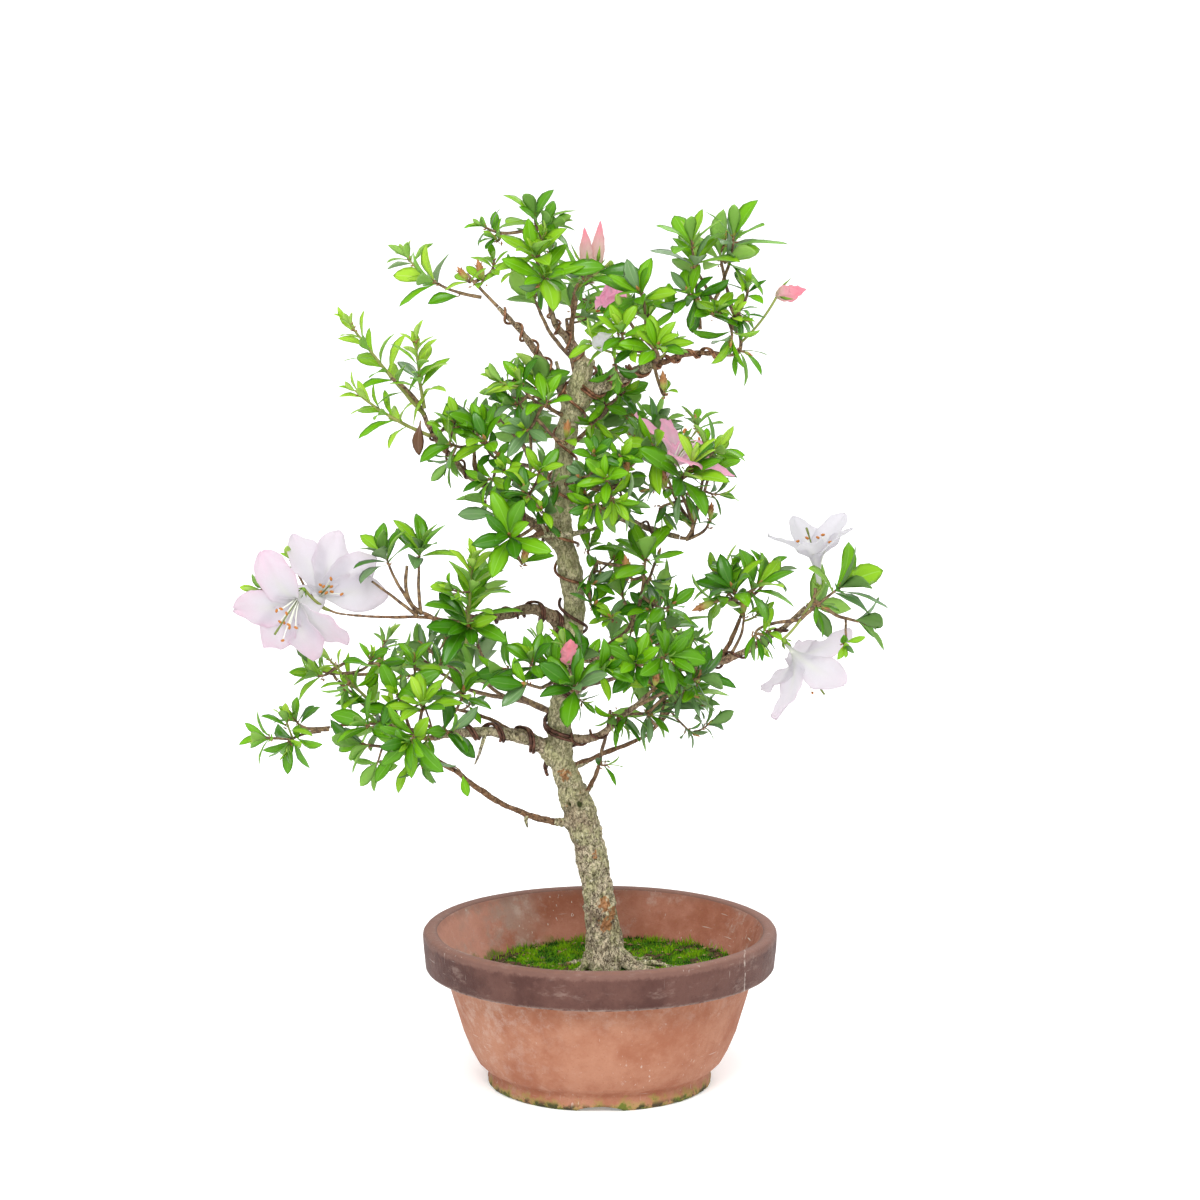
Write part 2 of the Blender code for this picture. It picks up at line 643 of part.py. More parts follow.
def bloom_pieces(name, throat, facing, opening, petal):
    """The funnel and the five petals of a bloom, as overlapping pieces."""
    base = Vector(throat) * MM - Vector(facing).normalized() * THROAT_DEPTH
    radii = [1.6 * MM, 3.2 * MM, THROAT_DIAMETER / 2]
    throat_end = Vector(throat) * MM
    pieces = [tube(name, [base, base.lerp(throat_end, 0.5), throat_end], radii, 6)]
    for path in petal_paths(throat, facing, opening, petal):
        crowding = 0.5 + 0.5 * math.sin(math.radians(opening))
        widths = [PETAL_WIDTH * share * crowding for share in PETAL_SHAPE]
        midline = (path[-1] - path[0]).normalized()
        normal = Matrix.Rotation(math.radians(PETAL_TWIST), 3, midline) @ Vector(facing)
        pieces.append(blade(name, path, widths, PETAL_THICKNESS, normal))
    return pieces, base


def bud_piece(name, middle, heading, length, diameter):
    """A pointed flower bud."""
    heading = Vector(heading).normalized() * length * MM / 2
    middle = Vector(middle) * MM
    path = [middle - heading, middle - heading * 0.2, middle + heading]
    radii = [diameter * share / 2 * MM for share in BUD_TAPER]
    return tube(name, path, radii, 5), path[0]


def stalk(name, mass, space, target, radius):
    """A flower stalk from the mass's stem to a bloom or a bud, bent clear of the limbs."""
    start = mass.stem[3]
    bend = start.lerp(target, 0.6) - UP * (target - start).length * 0.15
    for _ in range(6):
        path = curve(start, bend, target, 4)
        gaps = [space.nearest(point, mass.name) for point in path[1:4]]
        gap, away = min(gaps, key=lambda found: found[0])
        if gap > STALK_GAP:
            break
        bend = bend + away * 8.0 * MM
    overrun = (path[-1] - path[-2]).normalized() * 2.0 * MM
    path[-1] = path[-1] + overrun
    return tube(name, path, [radius] * len(path), 3)


def mass_solid(mass, space, trunk):
    """The mass's stem, shoots, leaves and blossom, fused."""
    shoots, leaves = grow(mass, space)
    name = "foliage_" + mass.name
    last = len(mass.stem) - 1
    radii = numpy.interp(range(last + 1), (0, last), (mass.stem_radius, SHOOT_DIAMETER * 0.75))
    stem = tube(name, mass.stem, radii, 5 if mass.on_trunk else 4)
    if mass.on_trunk:
        boolean(stem, "DIFFERENCE", trunk.solid("cutter", CLEARANCE))
        keep_largest(stem)
    pieces = [stem]
    for path, along in shoots:
        path = path + [path[-1] + along * 3.0 * MM]
        radius = SHOOT_DIAMETER / 2
        pieces.append(tube(name, path, [radius * share for share in SHOOT_TAPER], 3))
    for leaf in leaves:
        pieces.append(mesh_object(name, *leaf_shape(*leaf)))
    for owner, *bloom in BLOOMS:
        if owner == mass.name:
            parts, base = bloom_pieces(name, *bloom)
            pieces += parts
            pieces.append(stalk(name, mass, space, base, BLOOM_STALK))
    for owner, *bud in BUDS:
        if owner == mass.name:
            part, base = bud_piece(name, *bud)
            pieces += [part, stalk(name, mass, space, base, BUD_STALK)]
    return fuse(name, pieces)


def bowl():
    """The bowl: a rim band, tapering wall, waist, foot ring with notches and a drain hole."""
    rim_base = BOWL_HEIGHT - RIM_DEPTH
    floor = FOOT_HOLLOW + FLOOR_THICKNESS
    profile = [
        (DRAIN_RADIUS, FOOT_HOLLOW),
        (FOOT_RADIUS - FOOT_WIDTH, FOOT_HOLLOW),
        (FOOT_RADIUS - FOOT_WIDTH + 1.0 * MM, 0.0),
        (FOOT_RADIUS - 1.5 * MM, 0.0),
        (FOOT_RADIUS, 2.0 * MM),
        (FOOT_RADIUS - 1.0 * MM, WAIST_HEIGHT * 0.6),
        (WAIST_RADIUS, WAIST_HEIGHT),
        *[(WAIST_RADIUS + bulge, height) for bulge, height in WALL_BULGE],
        (RIM_RADIUS - 2.0 * MM - RIM_ROUND, rim_base),
        (RIM_RADIUS - 2.0 * MM, rim_base + RIM_ROUND),
        (RIM_RADIUS, BOWL_HEIGHT - 4.0 * MM),
        (RIM_RADIUS - RIM_ROUND, BOWL_HEIGHT - 0.5 * MM),
        (RIM_RADIUS - 2 * RIM_ROUND, BOWL_HEIGHT),
        (RIM_INNER_RADIUS + RIM_ROUND, BOWL_HEIGHT - 0.3 * MM),
        (RIM_INNER_RADIUS, BOWL_HEIGHT - 2.0 * MM),
        (bowl_inner_radius(SOIL_LEVEL), SOIL_LEVEL),
        *[(bowl_inner_radius(height), height) for height in reversed(WALL_CORNERS)],
        (FLOOR_RADIUS, floor),
        (DRAIN_RADIUS, floor),
    ]
    solid = turned("bowl", profile, BOWL_SIDES)
    for i in range(NOTCHES):
        turn = math.radians(-90 + 360 * i / NOTCHES)
        outward = Vector((math.cos(turn), math.sin(turn), 0.0))
        along = [outward * (FOOT_RADIUS - FOOT_WIDTH * 2), outward * (FOOT_RADIUS + 10.0 * MM)]
        cutter = tube("cutter", along, [NOTCH_WIDTH / 2] * 2, 16)
        cutter.data.transform(Matrix.Diagonal((1, 1, 2 * NOTCH_HEIGHT / NOTCH_WIDTH, 1)))
        boolean(solid, "DIFFERENCE", cutter)
    return solid


def bowl_inner_radius(height):
    """The inner wall's radius, which narrows evenly from under the rim to the floor."""
    top = BOWL_HEIGHT - 2.0 * MM
    foot = WAIST_RADIUS - WALL_THICKNESS - 4.0 * MM
    share = (height - FOOT_HOLLOW - FLOOR_THICKNESS) / (top - FOOT_HOLLOW - FLOOR_THICKNESS)
    return foot + (RIM_INNER_RADIUS - foot) * share


def soil():
    """The soil that fills the bowl, moss-topped: flat round the trunk, falling to the wall."""
    floor = FOOT_HOLLOW + FLOOR_THICKNESS + CLEARANCE
    inside = CLEARANCE * 1.5
    edge = SOIL_LEVEL - SOIL_EDGE_DROP
    # The wall is straight between its corners, so the soil's side has the same corners.
    profile = [
        (0.0, floor),
        (FLOOR_RADIUS - inside, floor),
        *[(bowl_inner_radius(height) - inside * 2, height) for height in WALL_CORNERS],
        (bowl_inner_radius(edge) - inside * 2, edge),
        (SOIL_SHOULDER, SOIL_LEVEL - SOIL_EDGE_DROP * 0.3),
        (SOIL_FLAT_RADIUS, SOIL_LEVEL),
        (0.0, SOIL_LEVEL),
    ]
    return turned("soil_moss", profile, BOWL_SIDES)


def trunk_solid(trunk):
    """The trunk with the roots that run out from its foot, cut flat at the ground."""
    ground = SOIL_LEVEL + CLEARANCE
    foot = trunk.at(SOIL_LEVEL)
    pieces = [trunk.solid("trunk")]
    for _, heading, length, diameter in ROOTS:
        outward = direction(heading, 0)
        start = Vector((foot.x, foot.y, ground + diameter * 0.45 * MM)) + outward * 6.0 * MM
        end = Vector((foot.x, foot.y, ground - 1.0 * MM)) + outward * length * MM
        path = curve(start, start.lerp(end, 0.6) + UP * 1.0 * MM, end, 3)
        radii = [diameter * share / 2 * MM for share in ROOT_TAPER]
        pieces.append(tube("root", path, radii, 6))
    solid = fuse("trunk", pieces)
    work = bmesh.new()
    work.from_mesh(solid.data)
    geometry = list(work.verts) + list(work.edges) + list(work.faces)
    cut = bmesh.ops.bisect_plane(
        work, geom=geometry, plane_co=(0.0, 0.0, ground), plane_no=(0.0, 0.0, 1.0), clear_inner=True
    )
    edges = [item for item in cut["geom_cut"] if isinstance(item, bmesh.types.BMEdge)]
    bmesh.ops.contextual_create(work, geom=edges)
    bmesh.ops.recalc_face_normals(work, faces=work.faces)
    work.to_mesh(solid.data)
    work.free()
    return solid


def build():
    """Makes every solid, and hangs it on the bowl's axis."""
    for obj in list(bpy.data.objects):
        bpy.data.objects.remove(obj)
    stand = bpy.data.objects.new("bowl_axis", None)
    bpy.context.scene.collection.objects.link(stand)
    stand.location = BOWL_AXIS

    trunk = trunk_axis()
    limbs = {"trunk": trunk}
    for name, parent, *sizes in LIMBS:
        limbs[name] = limb_axis(name, limbs[parent], *sizes)
    masses = [Mass(row, limbs) for row in MASSES]
    space = Space(limbs, masses)

    finish(bowl(), (0.42, 0.17, 0.10), 0.75, stand, 25)
    finish(soil(), (0.10, 0.19, 0.03), 0.95, stand)
    finish(trunk_solid(trunk), (0.33, 0.29, 0.20), 0.9, stand, 60)
    for name, parent, *_ in LIMBS:
        solid = limbs[name].solid("bough_" + name)
        boolean(solid, "DIFFERENCE", limbs[parent].solid("cutter", CLEARANCE))
        keep_largest(solid)
        finish(solid, (0.24, 0.17, 0.11), 0.85, stand, 60)
    for name, limb, start, end, turns, diameter, first in WIRES:
        path = wire_path(limbs[limb], start, end, turns, diameter, first)
        solid = tube(name, path, [diameter / 2 * MM] * len(path), 4)
        finish(solid, (0.16, 0.08, 0.05), 0.5, stand, 95)
    for mass in masses:
        finish(mass_solid(mass, space, trunk), (0.16, 0.38, 0.07), 0.55, stand)


build()
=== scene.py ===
import math
import random
import bpy
import numpy
from mathutils import Matrix, Vector, noise
from mathutils.bvhtree import BVHTree


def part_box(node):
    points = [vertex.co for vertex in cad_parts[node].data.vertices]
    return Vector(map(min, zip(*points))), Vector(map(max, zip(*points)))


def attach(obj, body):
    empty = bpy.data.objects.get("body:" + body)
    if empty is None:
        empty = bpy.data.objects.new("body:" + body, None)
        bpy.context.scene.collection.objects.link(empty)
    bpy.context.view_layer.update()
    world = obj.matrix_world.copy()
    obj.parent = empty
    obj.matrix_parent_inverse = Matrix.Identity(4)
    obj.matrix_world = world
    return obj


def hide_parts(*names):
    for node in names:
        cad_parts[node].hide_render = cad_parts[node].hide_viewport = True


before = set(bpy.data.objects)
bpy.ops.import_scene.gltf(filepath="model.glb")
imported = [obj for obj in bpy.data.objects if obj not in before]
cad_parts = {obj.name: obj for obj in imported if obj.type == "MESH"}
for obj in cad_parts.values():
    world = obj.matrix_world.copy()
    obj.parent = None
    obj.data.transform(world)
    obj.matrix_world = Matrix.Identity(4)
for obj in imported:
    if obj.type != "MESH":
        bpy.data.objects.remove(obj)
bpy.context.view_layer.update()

mm = 0.001
up = Vector((0, 0, 1))
goldenAngle = math.pi * (3 - math.sqrt(5))
noise.seed_set(3)  # so that the sway of boughs and twigs is the same each time
bowlLow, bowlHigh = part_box("bowl")
stand = Vector(((bowlLow[0] + bowlHigh[0]) / 2, (bowlLow[1] + bowlHigh[1]) / 2, 0))
# Every table below is in mm from the bowl's axis, which stands at this place in the frame.


# ---- materials ----
class Signal:
    # one output of a shader node; sums on it add their Math nodes
    def __init__(self, look, socket):
        self.look = look
        self.socket = socket

    def math(self, operation, first, second):
        return self.look.node("Math", {"operation": operation}, {0: first, 1: second})

    def __add__(self, other):
        return self.math("ADD", self, other)

    def __radd__(self, other):
        return self.math("ADD", other, self)

    def __sub__(self, other):
        return self.math("SUBTRACT", self, other)

    def __rsub__(self, other):
        return self.math("SUBTRACT", other, self)

    def __mul__(self, other):
        return self.math("MULTIPLY", self, other)

    def __rmul__(self, other):
        return self.math("MULTIPLY", other, self)


class Look:
    # a material on a Principled shader; what stays the same all over is set on the shader itself
    def __init__(self, name, colour, roughness, metallic=0.0, shine=0.5, palette=None):
        self.palette = palette or {}
        self.colour = self.palette.get(colour, colour)
        self.material = bpy.data.materials.new(name)
        self.material.use_nodes = True
        self.tree = self.material.node_tree
        self.shader = self.tree.nodes["Principled BSDF"]
        self.place = self.node("TexCoord", {}, {}, "Object")
        self.set(**{"Base Color": self.colour, "Roughness": roughness, "Metallic": metallic})
        self.set(**{"Specular IOR Level": shine})

    def node(self, kind, settings, sockets, output=0):
        made = self.tree.nodes.new("ShaderNode" + kind)
        for name, value in settings.items():
            setattr(made, name, value)
        for name, value in sockets.items():
            self.feed(made.inputs[name], value)
        return Signal(self, made.outputs[output])

    def feed(self, socket, value):
        if isinstance(value, Signal):
            self.tree.links.new(value.socket, socket)
        elif socket.type == "RGBA":
            socket.default_value = (*value, 1.0)
        else:
            socket.default_value = value

    def set(self, **values):
        for name, value in values.items():
            self.feed(self.shader.inputs[name], value)

    def cloud(self, scale, detail=4.0, roughness=0.55, stretch=(1, 1, 1), shift=0.0, turn=0.0):
        moved = {"Vector": self.place, "Scale": stretch, "Location": (shift, -shift, shift * 0.6)}
        moved["Rotation"] = (0.0, math.radians(turn), 0.0)
        at = self.node("Mapping", {}, moved)
        return self.node(
            "TexNoise", {}, {"Vector": at, "Scale": scale, "Detail": detail, "Roughness": roughness}
        )

    def cells(self, scale, feature="F1", stretch=(1, 1, 1), spread=1.0):
        at = self.node("Mapping", {}, {"Vector": self.place, "Scale": stretch})
        kind = {"feature": feature}
        return self.node("TexVoronoi", kind, {"Vector": at, "Scale": scale, "Randomness": spread})

    def part(self, axis):
        return self.node("SeparateXYZ", {}, {0: self.place}, axis)

    def mark(self, name):
        return self.node("Attribute", {"attribute_name": name}, {}, "Fac")

    def rise(self, value, low, high):
        # 0 below low, 1 above high, smooth between them
        steps = {"Value": value, "From Min": low, "From Max": high}
        return self.node("MapRange", {"interpolation_type": "SMOOTHSTEP"}, steps)

    def fall(self, value, low, high):
        return 1 - self.rise(value, low, high)

    def patches(self, low, high, *cloud, **more):
        # where a cloud rises above low, in full above high
        return self.rise(self.cloud(*cloud, **more), low, high)

    def mix(self, share, first, second):
        return self.node("Mix", {"data_type": "RGBA"}, {0: share, 6: first, 7: second}, 2)

    def paint(self, share, colour):
        # lays a colour, or one of the palette by its name, over what is there
        self.colour = self.mix(share, self.colour, self.palette.get(colour, colour))
        self.set(**{"Base Color": self.colour})

    def relief(self, height, depth):
        self.set(Normal=self.node("Bump", {}, {"Height": height, "Distance": depth, "Strength": 1.0}))

    def glow(self, share, colour):
        # lets some light through, as a leaf or a petal does
        through = self.tree.nodes.new("ShaderNodeBsdfTranslucent")
        self.feed(through.inputs["Color"], colour)
        both = self.tree.nodes.new("ShaderNodeMixShader")
        both.inputs[0].default_value = share
        self.tree.links.new(self.shader.outputs[0], both.inputs[1])
        self.tree.links.new(through.outputs[0], both.inputs[2])
        self.tree.links.new(both.outputs[0], self.tree.nodes["Material Output"].inputs["Surface"])


# ---- camera, floor and light ----
viewpoint = {"distance": 3.0, "height": 0.881, "pitch": 10.36, "lens": 136.86, "sensor": 36.0}
studio = {
    "sky": (1.0, 1.0, 1.0),
    "skyStrength": 0.90,
    "floorSize": 60.0,
    "floorColour": (0.92, 0.92, 0.92),
    "floorGlow": 0.26,
    "sun": {"strength": 1.35, "turn": (38, 4, 0), "angle": 28},
    # name, place from the bowl, size, power
    "lamps": (
        ("keyLamp", (-0.5, -2.6, 2.2), 1.0, 46.0),
        ("backLamp", (1.0, 2.2, 2.2), 1.4, 22.0),
    ),
    "aim": (0.0, 0.0, 0.32),
}


def linked(name, data):
    made = bpy.data.objects.new(name, data)
    bpy.context.scene.collection.objects.link(made)
    return made


def makeCamera():
    data = bpy.data.cameras.new("camera")
    data.lens = viewpoint["lens"]
    data.sensor_width = viewpoint["sensor"]
    data.clip_start = 0.05
    data.clip_end = 200
    camera = linked("camera", data)
    camera.location = stand + Vector((0, -viewpoint["distance"], viewpoint["height"]))
    camera.rotation_euler = (math.radians(90 - viewpoint["pitch"]), 0, 0)
    bpy.context.scene.camera = camera


def makeStudio():
    world = bpy.data.worlds.new("studioSky")
    world.use_nodes = True
    sky = world.node_tree.nodes["Background"]
    sky.inputs["Color"].default_value = (*studio["sky"], 1)
    sky.inputs["Strength"].default_value = studio["skyStrength"]
    bpy.context.scene.world = world
    bpy.context.scene.view_settings.view_transform = "Standard"
    half = studio["floorSize"] / 2
    mesh = bpy.data.meshes.new("floor")
    corners = [(-half, -half, 0), (half, -half, 0), (half, half, 0), (-half, half, 0)]
    mesh.from_pydata(corners, [], [(0, 1, 2, 3)])
    paper = Look("floorPaper", studio["floorColour"], 0.9)
    paper.set(**{"Emission Color": studio["sky"], "Emission Strength": studio["floorGlow"]})
    mesh.materials.append(paper.material)
    linked("floor", mesh)
    data = bpy.data.lights.new("softSun", "SUN")
    data.energy = studio["sun"]["strength"]
    data.angle = math.radians(studio["sun"]["angle"])
    linked("softSun", data).rotation_euler = [math.radians(turn) for turn in studio["sun"]["turn"]]
    for name, place, size, power in studio["lamps"]:
        data = bpy.data.lights.new(name, "AREA")
        data.size = size
        data.energy = power
        lamp = linked(name, data)
        lamp.location = stand + Vector(place)
        aim = stand + Vector(studio["aim"]) - lamp.location
        lamp.rotation_euler = aim.to_track_quat("-Z", "Y").to_euler()


makeCamera()
makeStudio()
print("camera, floor and lamps")


# ---- curves and tubes ----
def smoothThrough(rows, step):
    # a smooth curve through rows of numbers, with its first column in even steps
    rows = [numpy.array(row, float) for row in rows]
    ends = [2 * rows[0] - rows[1], *rows, 2 * rows[-1] - rows[-2]]
    curved = []
    for before, start, end, after in zip(ends, ends[1:], ends[2:], ends[3:]):
        count = max(1, round(abs(end[0] - start[0]) / step))
        for i in range(count):
            t = i / count
            pull = (end - before) * t + (2 * before - 5 * start + 4 * end - after) * t**2
            pull += (3 * start - before - 3 * end + after) * t**3
            curved.append(start + pull / 2)
    curved.append(rows[-1])
    return curved


def curve(start, bend, end, count):
    # leaves the start towards the bend, and ends at the end
    steps = [i / count for i in range(count + 1)]
    return [start * (1 - t) ** 2 + bend * 2 * t * (1 - t) + end * t**2 for t in steps]


def lengthsAlong(points):
    # the length of the path up to each of its points
    lengths = [0.0]
    for start, end in zip(points, points[1:]):
        lengths.append(lengths[-1] + (end - start).length)
    return lengths


def fine(points, radii, step):
    # the same path and its radii, smoothed and in short steps
    rows = smoothThrough([(s, *p, r) for s, p, r in zip(lengthsAlong(points), points, radii)], step)
    return [Vector(row[1:4]) for row in rows], [float(row[4]) for row in rows]


def direction(heading, rise):
    # heading 0 runs to the right and 90 to the back, in degrees
    flat = math.cos(math.radians(rise))
    side = math.radians(heading)
    return Vector((flat * math.cos(side), flat * math.sin(side), math.sin(math.radians(rise))))


def sideOf(along, spare=(1.0, 0.0, 0.0)):
    # a direction across it; spare is for one that stands nearly upright
    return along.cross(up if abs(along.z) < 0.9 else Vector(spare)).normalized()


def spun(side, turn, axis):
    return Matrix.Rotation(turn, 3, axis) @ side


def opened(along, around, opening):
    # a direction opened away from along towards around, and the normal above it
    heading = along * math.cos(opening) + around * math.sin(opening)
    return heading, along * math.sin(opening) - around * math.cos(opening)


def frames(points):
    # at each point, the directions along the path and across it, carried without twist
    found = []
    across = None
    for i, point in enumerate(points):
        along = (points[min(i + 1, len(points) - 1)] - points[max(i - 1, 0)]).normalized()
        if across is None:
            across = along.cross(up if abs(along.z) < 0.9 else Vector((1.0, 0.0, 0.0)))
        across = (across - along * across.dot(along)).normalized()
        found.append((point, along, across, along.cross(across)))
    return found


def ringFaces(rings, sides):
    # the faces that join rings of points, each to the next
    faces = []
    for ring in range(0, (rings - 1) * sides, sides):
        for i in range(sides):
            j = (i + 1) % sides
            faces.append((ring + i, ring + j, ring + sides + j, ring + sides + i))
    return faces


def closedFaces(rings, sides):
    ends = [list(range(sides))[::-1], list(range((rings - 1) * sides, rings * sides))]
    return ends + ringFaces(rings, sides)


def tube(points, radii, sides, relief=None):
    # a closed tube; relief(point, radius) gives how far its skin stands out there
    made = []
    for (point, _, across, other), radius in zip(frames(points), radii):
        for i in range(sides):
            turn = 2 * math.pi * i / sides
            outward = across * math.cos(turn) + other * math.sin(turn)
            out = radius + relief(point + outward * radius, radius) if relief else radius
            made.append(point + outward * out)
    return made, closedFaces(len(points), sides)


def turned(profile, sides, wobble):
    # a closed profile of (radius, height) turned about the bowl's axis
    made = []
    for radius, height in profile:
        for i in range(sides):
            turn = 2 * math.pi * i / sides
            out, lift = wobble(radius, height, turn)
            flat = radius + out
            made.append((flat * math.cos(turn), flat * math.sin(turn), height + lift))
    last = (len(profile) - 1) * sides
    closing = [(last + i, last + (i + 1) % sides, (i + 1) % sides, i) for i in range(sides)]
    return made, ringFaces(len(profile), sides) + closing


class Shape:
    # small forms gathered into one piece
    def __init__(self):
        self.points = []
        self.faces = []
        self.looks = []
        self.marks = {}
        self.count = 0

    def add(self, points, faces, looks=0, **marks):
        self.faces += [[corner + self.count for corner in face] for face in faces]
        self.looks += [looks] * len(faces) if isinstance(looks, int) else looks
        for name, values in marks.items():
            self.marks.setdefault(name, []).extend(values)
        self.points.append(numpy.array(points, float).reshape(-1, 3))
        self.count += len(points)

    def piece(self, name, looks, slot, replaced=(), sharp=180):
        mesh = bpy.data.meshes.new(name)
        mesh.from_pydata(numpy.concatenate(self.points) + numpy.array(stand), [], self.faces)
        for look in looks:
            mesh.materials.append(look.material)
        mesh.polygons.foreach_set("material_index", self.looks)
        for mark, values in self.marks.items():
            mesh.attributes.new(mark, "FLOAT", "POINT").data.foreach_set("value", values)
        mesh.shade_smooth()
        if sharp < 180:
            mesh.set_sharp_from_angle(angle=math.radians(sharp))
        mesh.validate()
        piece = linked(name, mesh)
        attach(piece, "root")
        if replaced:
            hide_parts(*replaced)


# ---- the bowl ----
bowlSizes = {
    "height": 107.0, "rimRadius": 120.0, "rimDepth": 26.6, "rimInner": 110.0, "wall": 8.0,
    "waist": 80.0, "foot": 76.0, "footWidth": 13.0, "hollow": 4.0,
    "floor": 9.0, "floorRadius": 53.0, "drain": 11.0, "notches": 3, "notchWidth": 30.0,
    "notchHeight": 3.5, "sides": 180,
    "bulge": ((8.0, 26.0), (13.0, 38.0), (16.3, 49.0), (19.6, 60.0), (22.3, 70.0), (24.5, 80.0)),
}
clayColours = {
    "body": (0.328, 0.133, 0.075), "bodyPale": (0.43, 0.22, 0.143), "bodyDeep": (0.27, 0.092, 0.048),
    "inner": (0.270, 0.093, 0.056), "innerPale": (0.46, 0.21, 0.145), "innerSmoke": (0.34, 0.235, 0.19),
    # the first colour on the line below is painted light, a paler inner wall at the left
    "innerLeftPaintedLight": (0.56, 0.28, 0.21), "footDust": (0.36, 0.27, 0.225), "dust": (0.33, 0.235, 0.20),
    "rim": (0.070, 0.024, 0.018), "rimPale": (0.19, 0.098, 0.076), "rimDeep": (0.038, 0.015, 0.012),
    "lip": (0.235, 0.115, 0.085), "lime": (0.58, 0.50, 0.44), "moss": (0.085, 0.125, 0.012),
    "mossPale": (0.27, 0.25, 0.055), "soot": (0.035, 0.028, 0.016),
}


def innerRadius(height):
    sizes = bowlSizes
    top = sizes["height"] - 2
    foot = sizes["waist"] - sizes["wall"] - 4
    low = sizes["hollow"] + sizes["floor"]
    return foot + (sizes["rimInner"] - foot) * (height - low) / (top - low)


def veins(look, scale, stretch, width, shift=0.0):
    # thin wandering lines, where a cloud passes through its middle
    lines = look.cloud(scale, 4, 0.6, stretch, shift)
    return look.rise(lines, 0.5 - width, 0.5) * look.fall(lines, 0.5, 0.5 + width)


def scratches(look, shift):
    # short fine strokes, most of them slanting, in a few worn places
    slanting = look.patches(0.67, 0.73, 520, 2, 0.5, (1, 1, 0.07), shift, 38)
    level = look.patches(0.70, 0.76, 600, 2, 0.5, (0.06, 0.06, 1), shift + 4, -12)
    return (slanting + level) * look.patches(0.46, 0.60, 24, 3, 0.6, shift=shift + 9)


def clayLook(name, base, pale, deep, roughness):
    # the speckled clay under all three finishes of the bowl
    look = Look(name, base, roughness, shine=0.25, palette=clayColours)
    look.colour = look.mix(look.patches(0.36, 0.64, 26, 6, 0.65), clayColours[deep], clayColours[pale])
    look.paint(0.45, base)
    look.paint(look.patches(0.52, 0.72, 190, 6, 0.7, shift=1.3) * 0.35, pale)
    look.paint(look.patches(0.58, 0.70, 620, 3, 0.6) * 0.40, deep)
    look.relief(look.cloud(260, 5, 0.6) + look.cloud(1300, 2, 0.6) * 0.35, 0.0006)
    return look


def makeBodyLook():
    look = clayLook("bodyClay", "body", "bodyPale", "bodyDeep", 0.8)
    height = look.part(2)
    # lime blooms under the rim and towards the left
    left = look.rise(stand.x - look.part(0), 0.0, 0.08)
    under = look.rise(height, 0.050, 0.082) * 0.5 + left * 0.5
    look.paint(look.patches(0.46, 0.66, 85, 8, 0.78, shift=4.0) * under * 0.45, "lime")
    look.paint(look.patches(0.62, 0.72, 150, 6, 0.75, shift=2.0) * 0.32, "lime")
    look.paint(scratches(look, 0.0) * 0.55, "lime")
    # darker in patches along the groove above the foot; algae and soot creep up from the ground in patches
    groove = look.rise(height, 0.0085, 0.0105) * look.fall(height, 0.0125, 0.0150)
    look.paint(groove * look.patches(0.42, 0.56, 90, 4, 0.6) * 0.55, "bodyDeep")
    creep = height - look.cloud(95, 6, 0.7, shift=5.0) * 0.034
    look.paint(look.fall(creep, -0.0155, -0.0085) * 0.6, "mossPale")
    look.paint(look.fall(creep, -0.0180, -0.0135) * 0.9, "moss")
    soot = look.fall(height, 0.002, 0.006) * look.patches(0.46, 0.56, 130, 5, 0.65, shift=8.0)
    look.paint(soot * 0.9, "soot")
    return look


def makeInnerLook():
    look = clayLook("innerClay", "inner", "innerPale", "bodyDeep", 0.85)
    height = look.part(2)
    # painted light: the left of the wall is paler, as if lit; a smoky blotch at the left, and the brown of the rim
    # running down from the lip
    away = stand.x - look.part(0) + look.cloud(36, 4, 0.6) * 0.04
    left = look.rise(away, 0.055, 0.085) * look.fall(away, 0.108, 0.122)
    look.paint(look.rise(away, 0.070, 0.115) * 0.75, "innerLeftPaintedLight")
    look.paint(left * look.patches(0.44, 0.60, 30, 5, 0.65, shift=6.0) * 0.8, "innerSmoke")
    drift = look.cloud(60, 5, 0.65, shift=2.0) * 0.012
    look.paint(look.rise(height + drift, 0.106, 0.114) * 0.6, "lip")
    look.paint(look.patches(0.52, 0.70, 48, 6, 0.75, shift=4.0) * 0.30, "lime")
    look.paint(scratches(look, 1.7) * 0.85, "lime")
    creep = look.cloud(85, 6, 0.7, shift=1.0) * 0.026
    look.paint(look.fall(height - creep, 0.0585, 0.0640) * 0.8, "moss")
    return look


def makeRimLook():
    look = clayLook("rimClay", "rim", "rimPale", "rimDeep", 0.62)
    look.paint(0.45, "rim")
    height = look.part(2)
    wear = look.cloud(170, 6, 0.7, shift=3.0)
    look.paint(look.rise(height + wear * 0.003, 0.1065, 0.1084) * 0.8, "lip")
    edge = look.rise(height + wear * 0.008, 0.1050, 0.1078)
    look.paint(edge * look.fall(height + wear * 0.003, 0.1076, 0.1086) * 0.60, "rimPale")
    foot = look.fall(height + wear * 0.006, 0.0830, 0.0860) * look.rise(wear, 0.36, 0.56)
    look.paint(foot * 0.80, "footDust")
    look.paint(look.patches(0.52, 0.70, 46, 7, 0.75, (1, 1, 2.4), 6.0) * 0.34, "dust")
    look.paint(scratches(look, 0.6) * 0.45, "lime")
    # one long pale scratch down the band
    stroke = look.part(0) - stand.x + look.cloud(150, 3, 0.6, (1, 1, 0.3)) * 0.003
    line = look.rise(stroke, 0.0968, 0.0975) * look.fall(stroke, 0.0975, 0.0982)
    front = look.fall(look.part(1) - stand.y, -0.05, -0.02)
    look.paint(line * front * look.rise(wear, 0.40, 0.55) * 0.6, "lime")
    look.set(Roughness=0.50 + wear * 0.25)
    return look


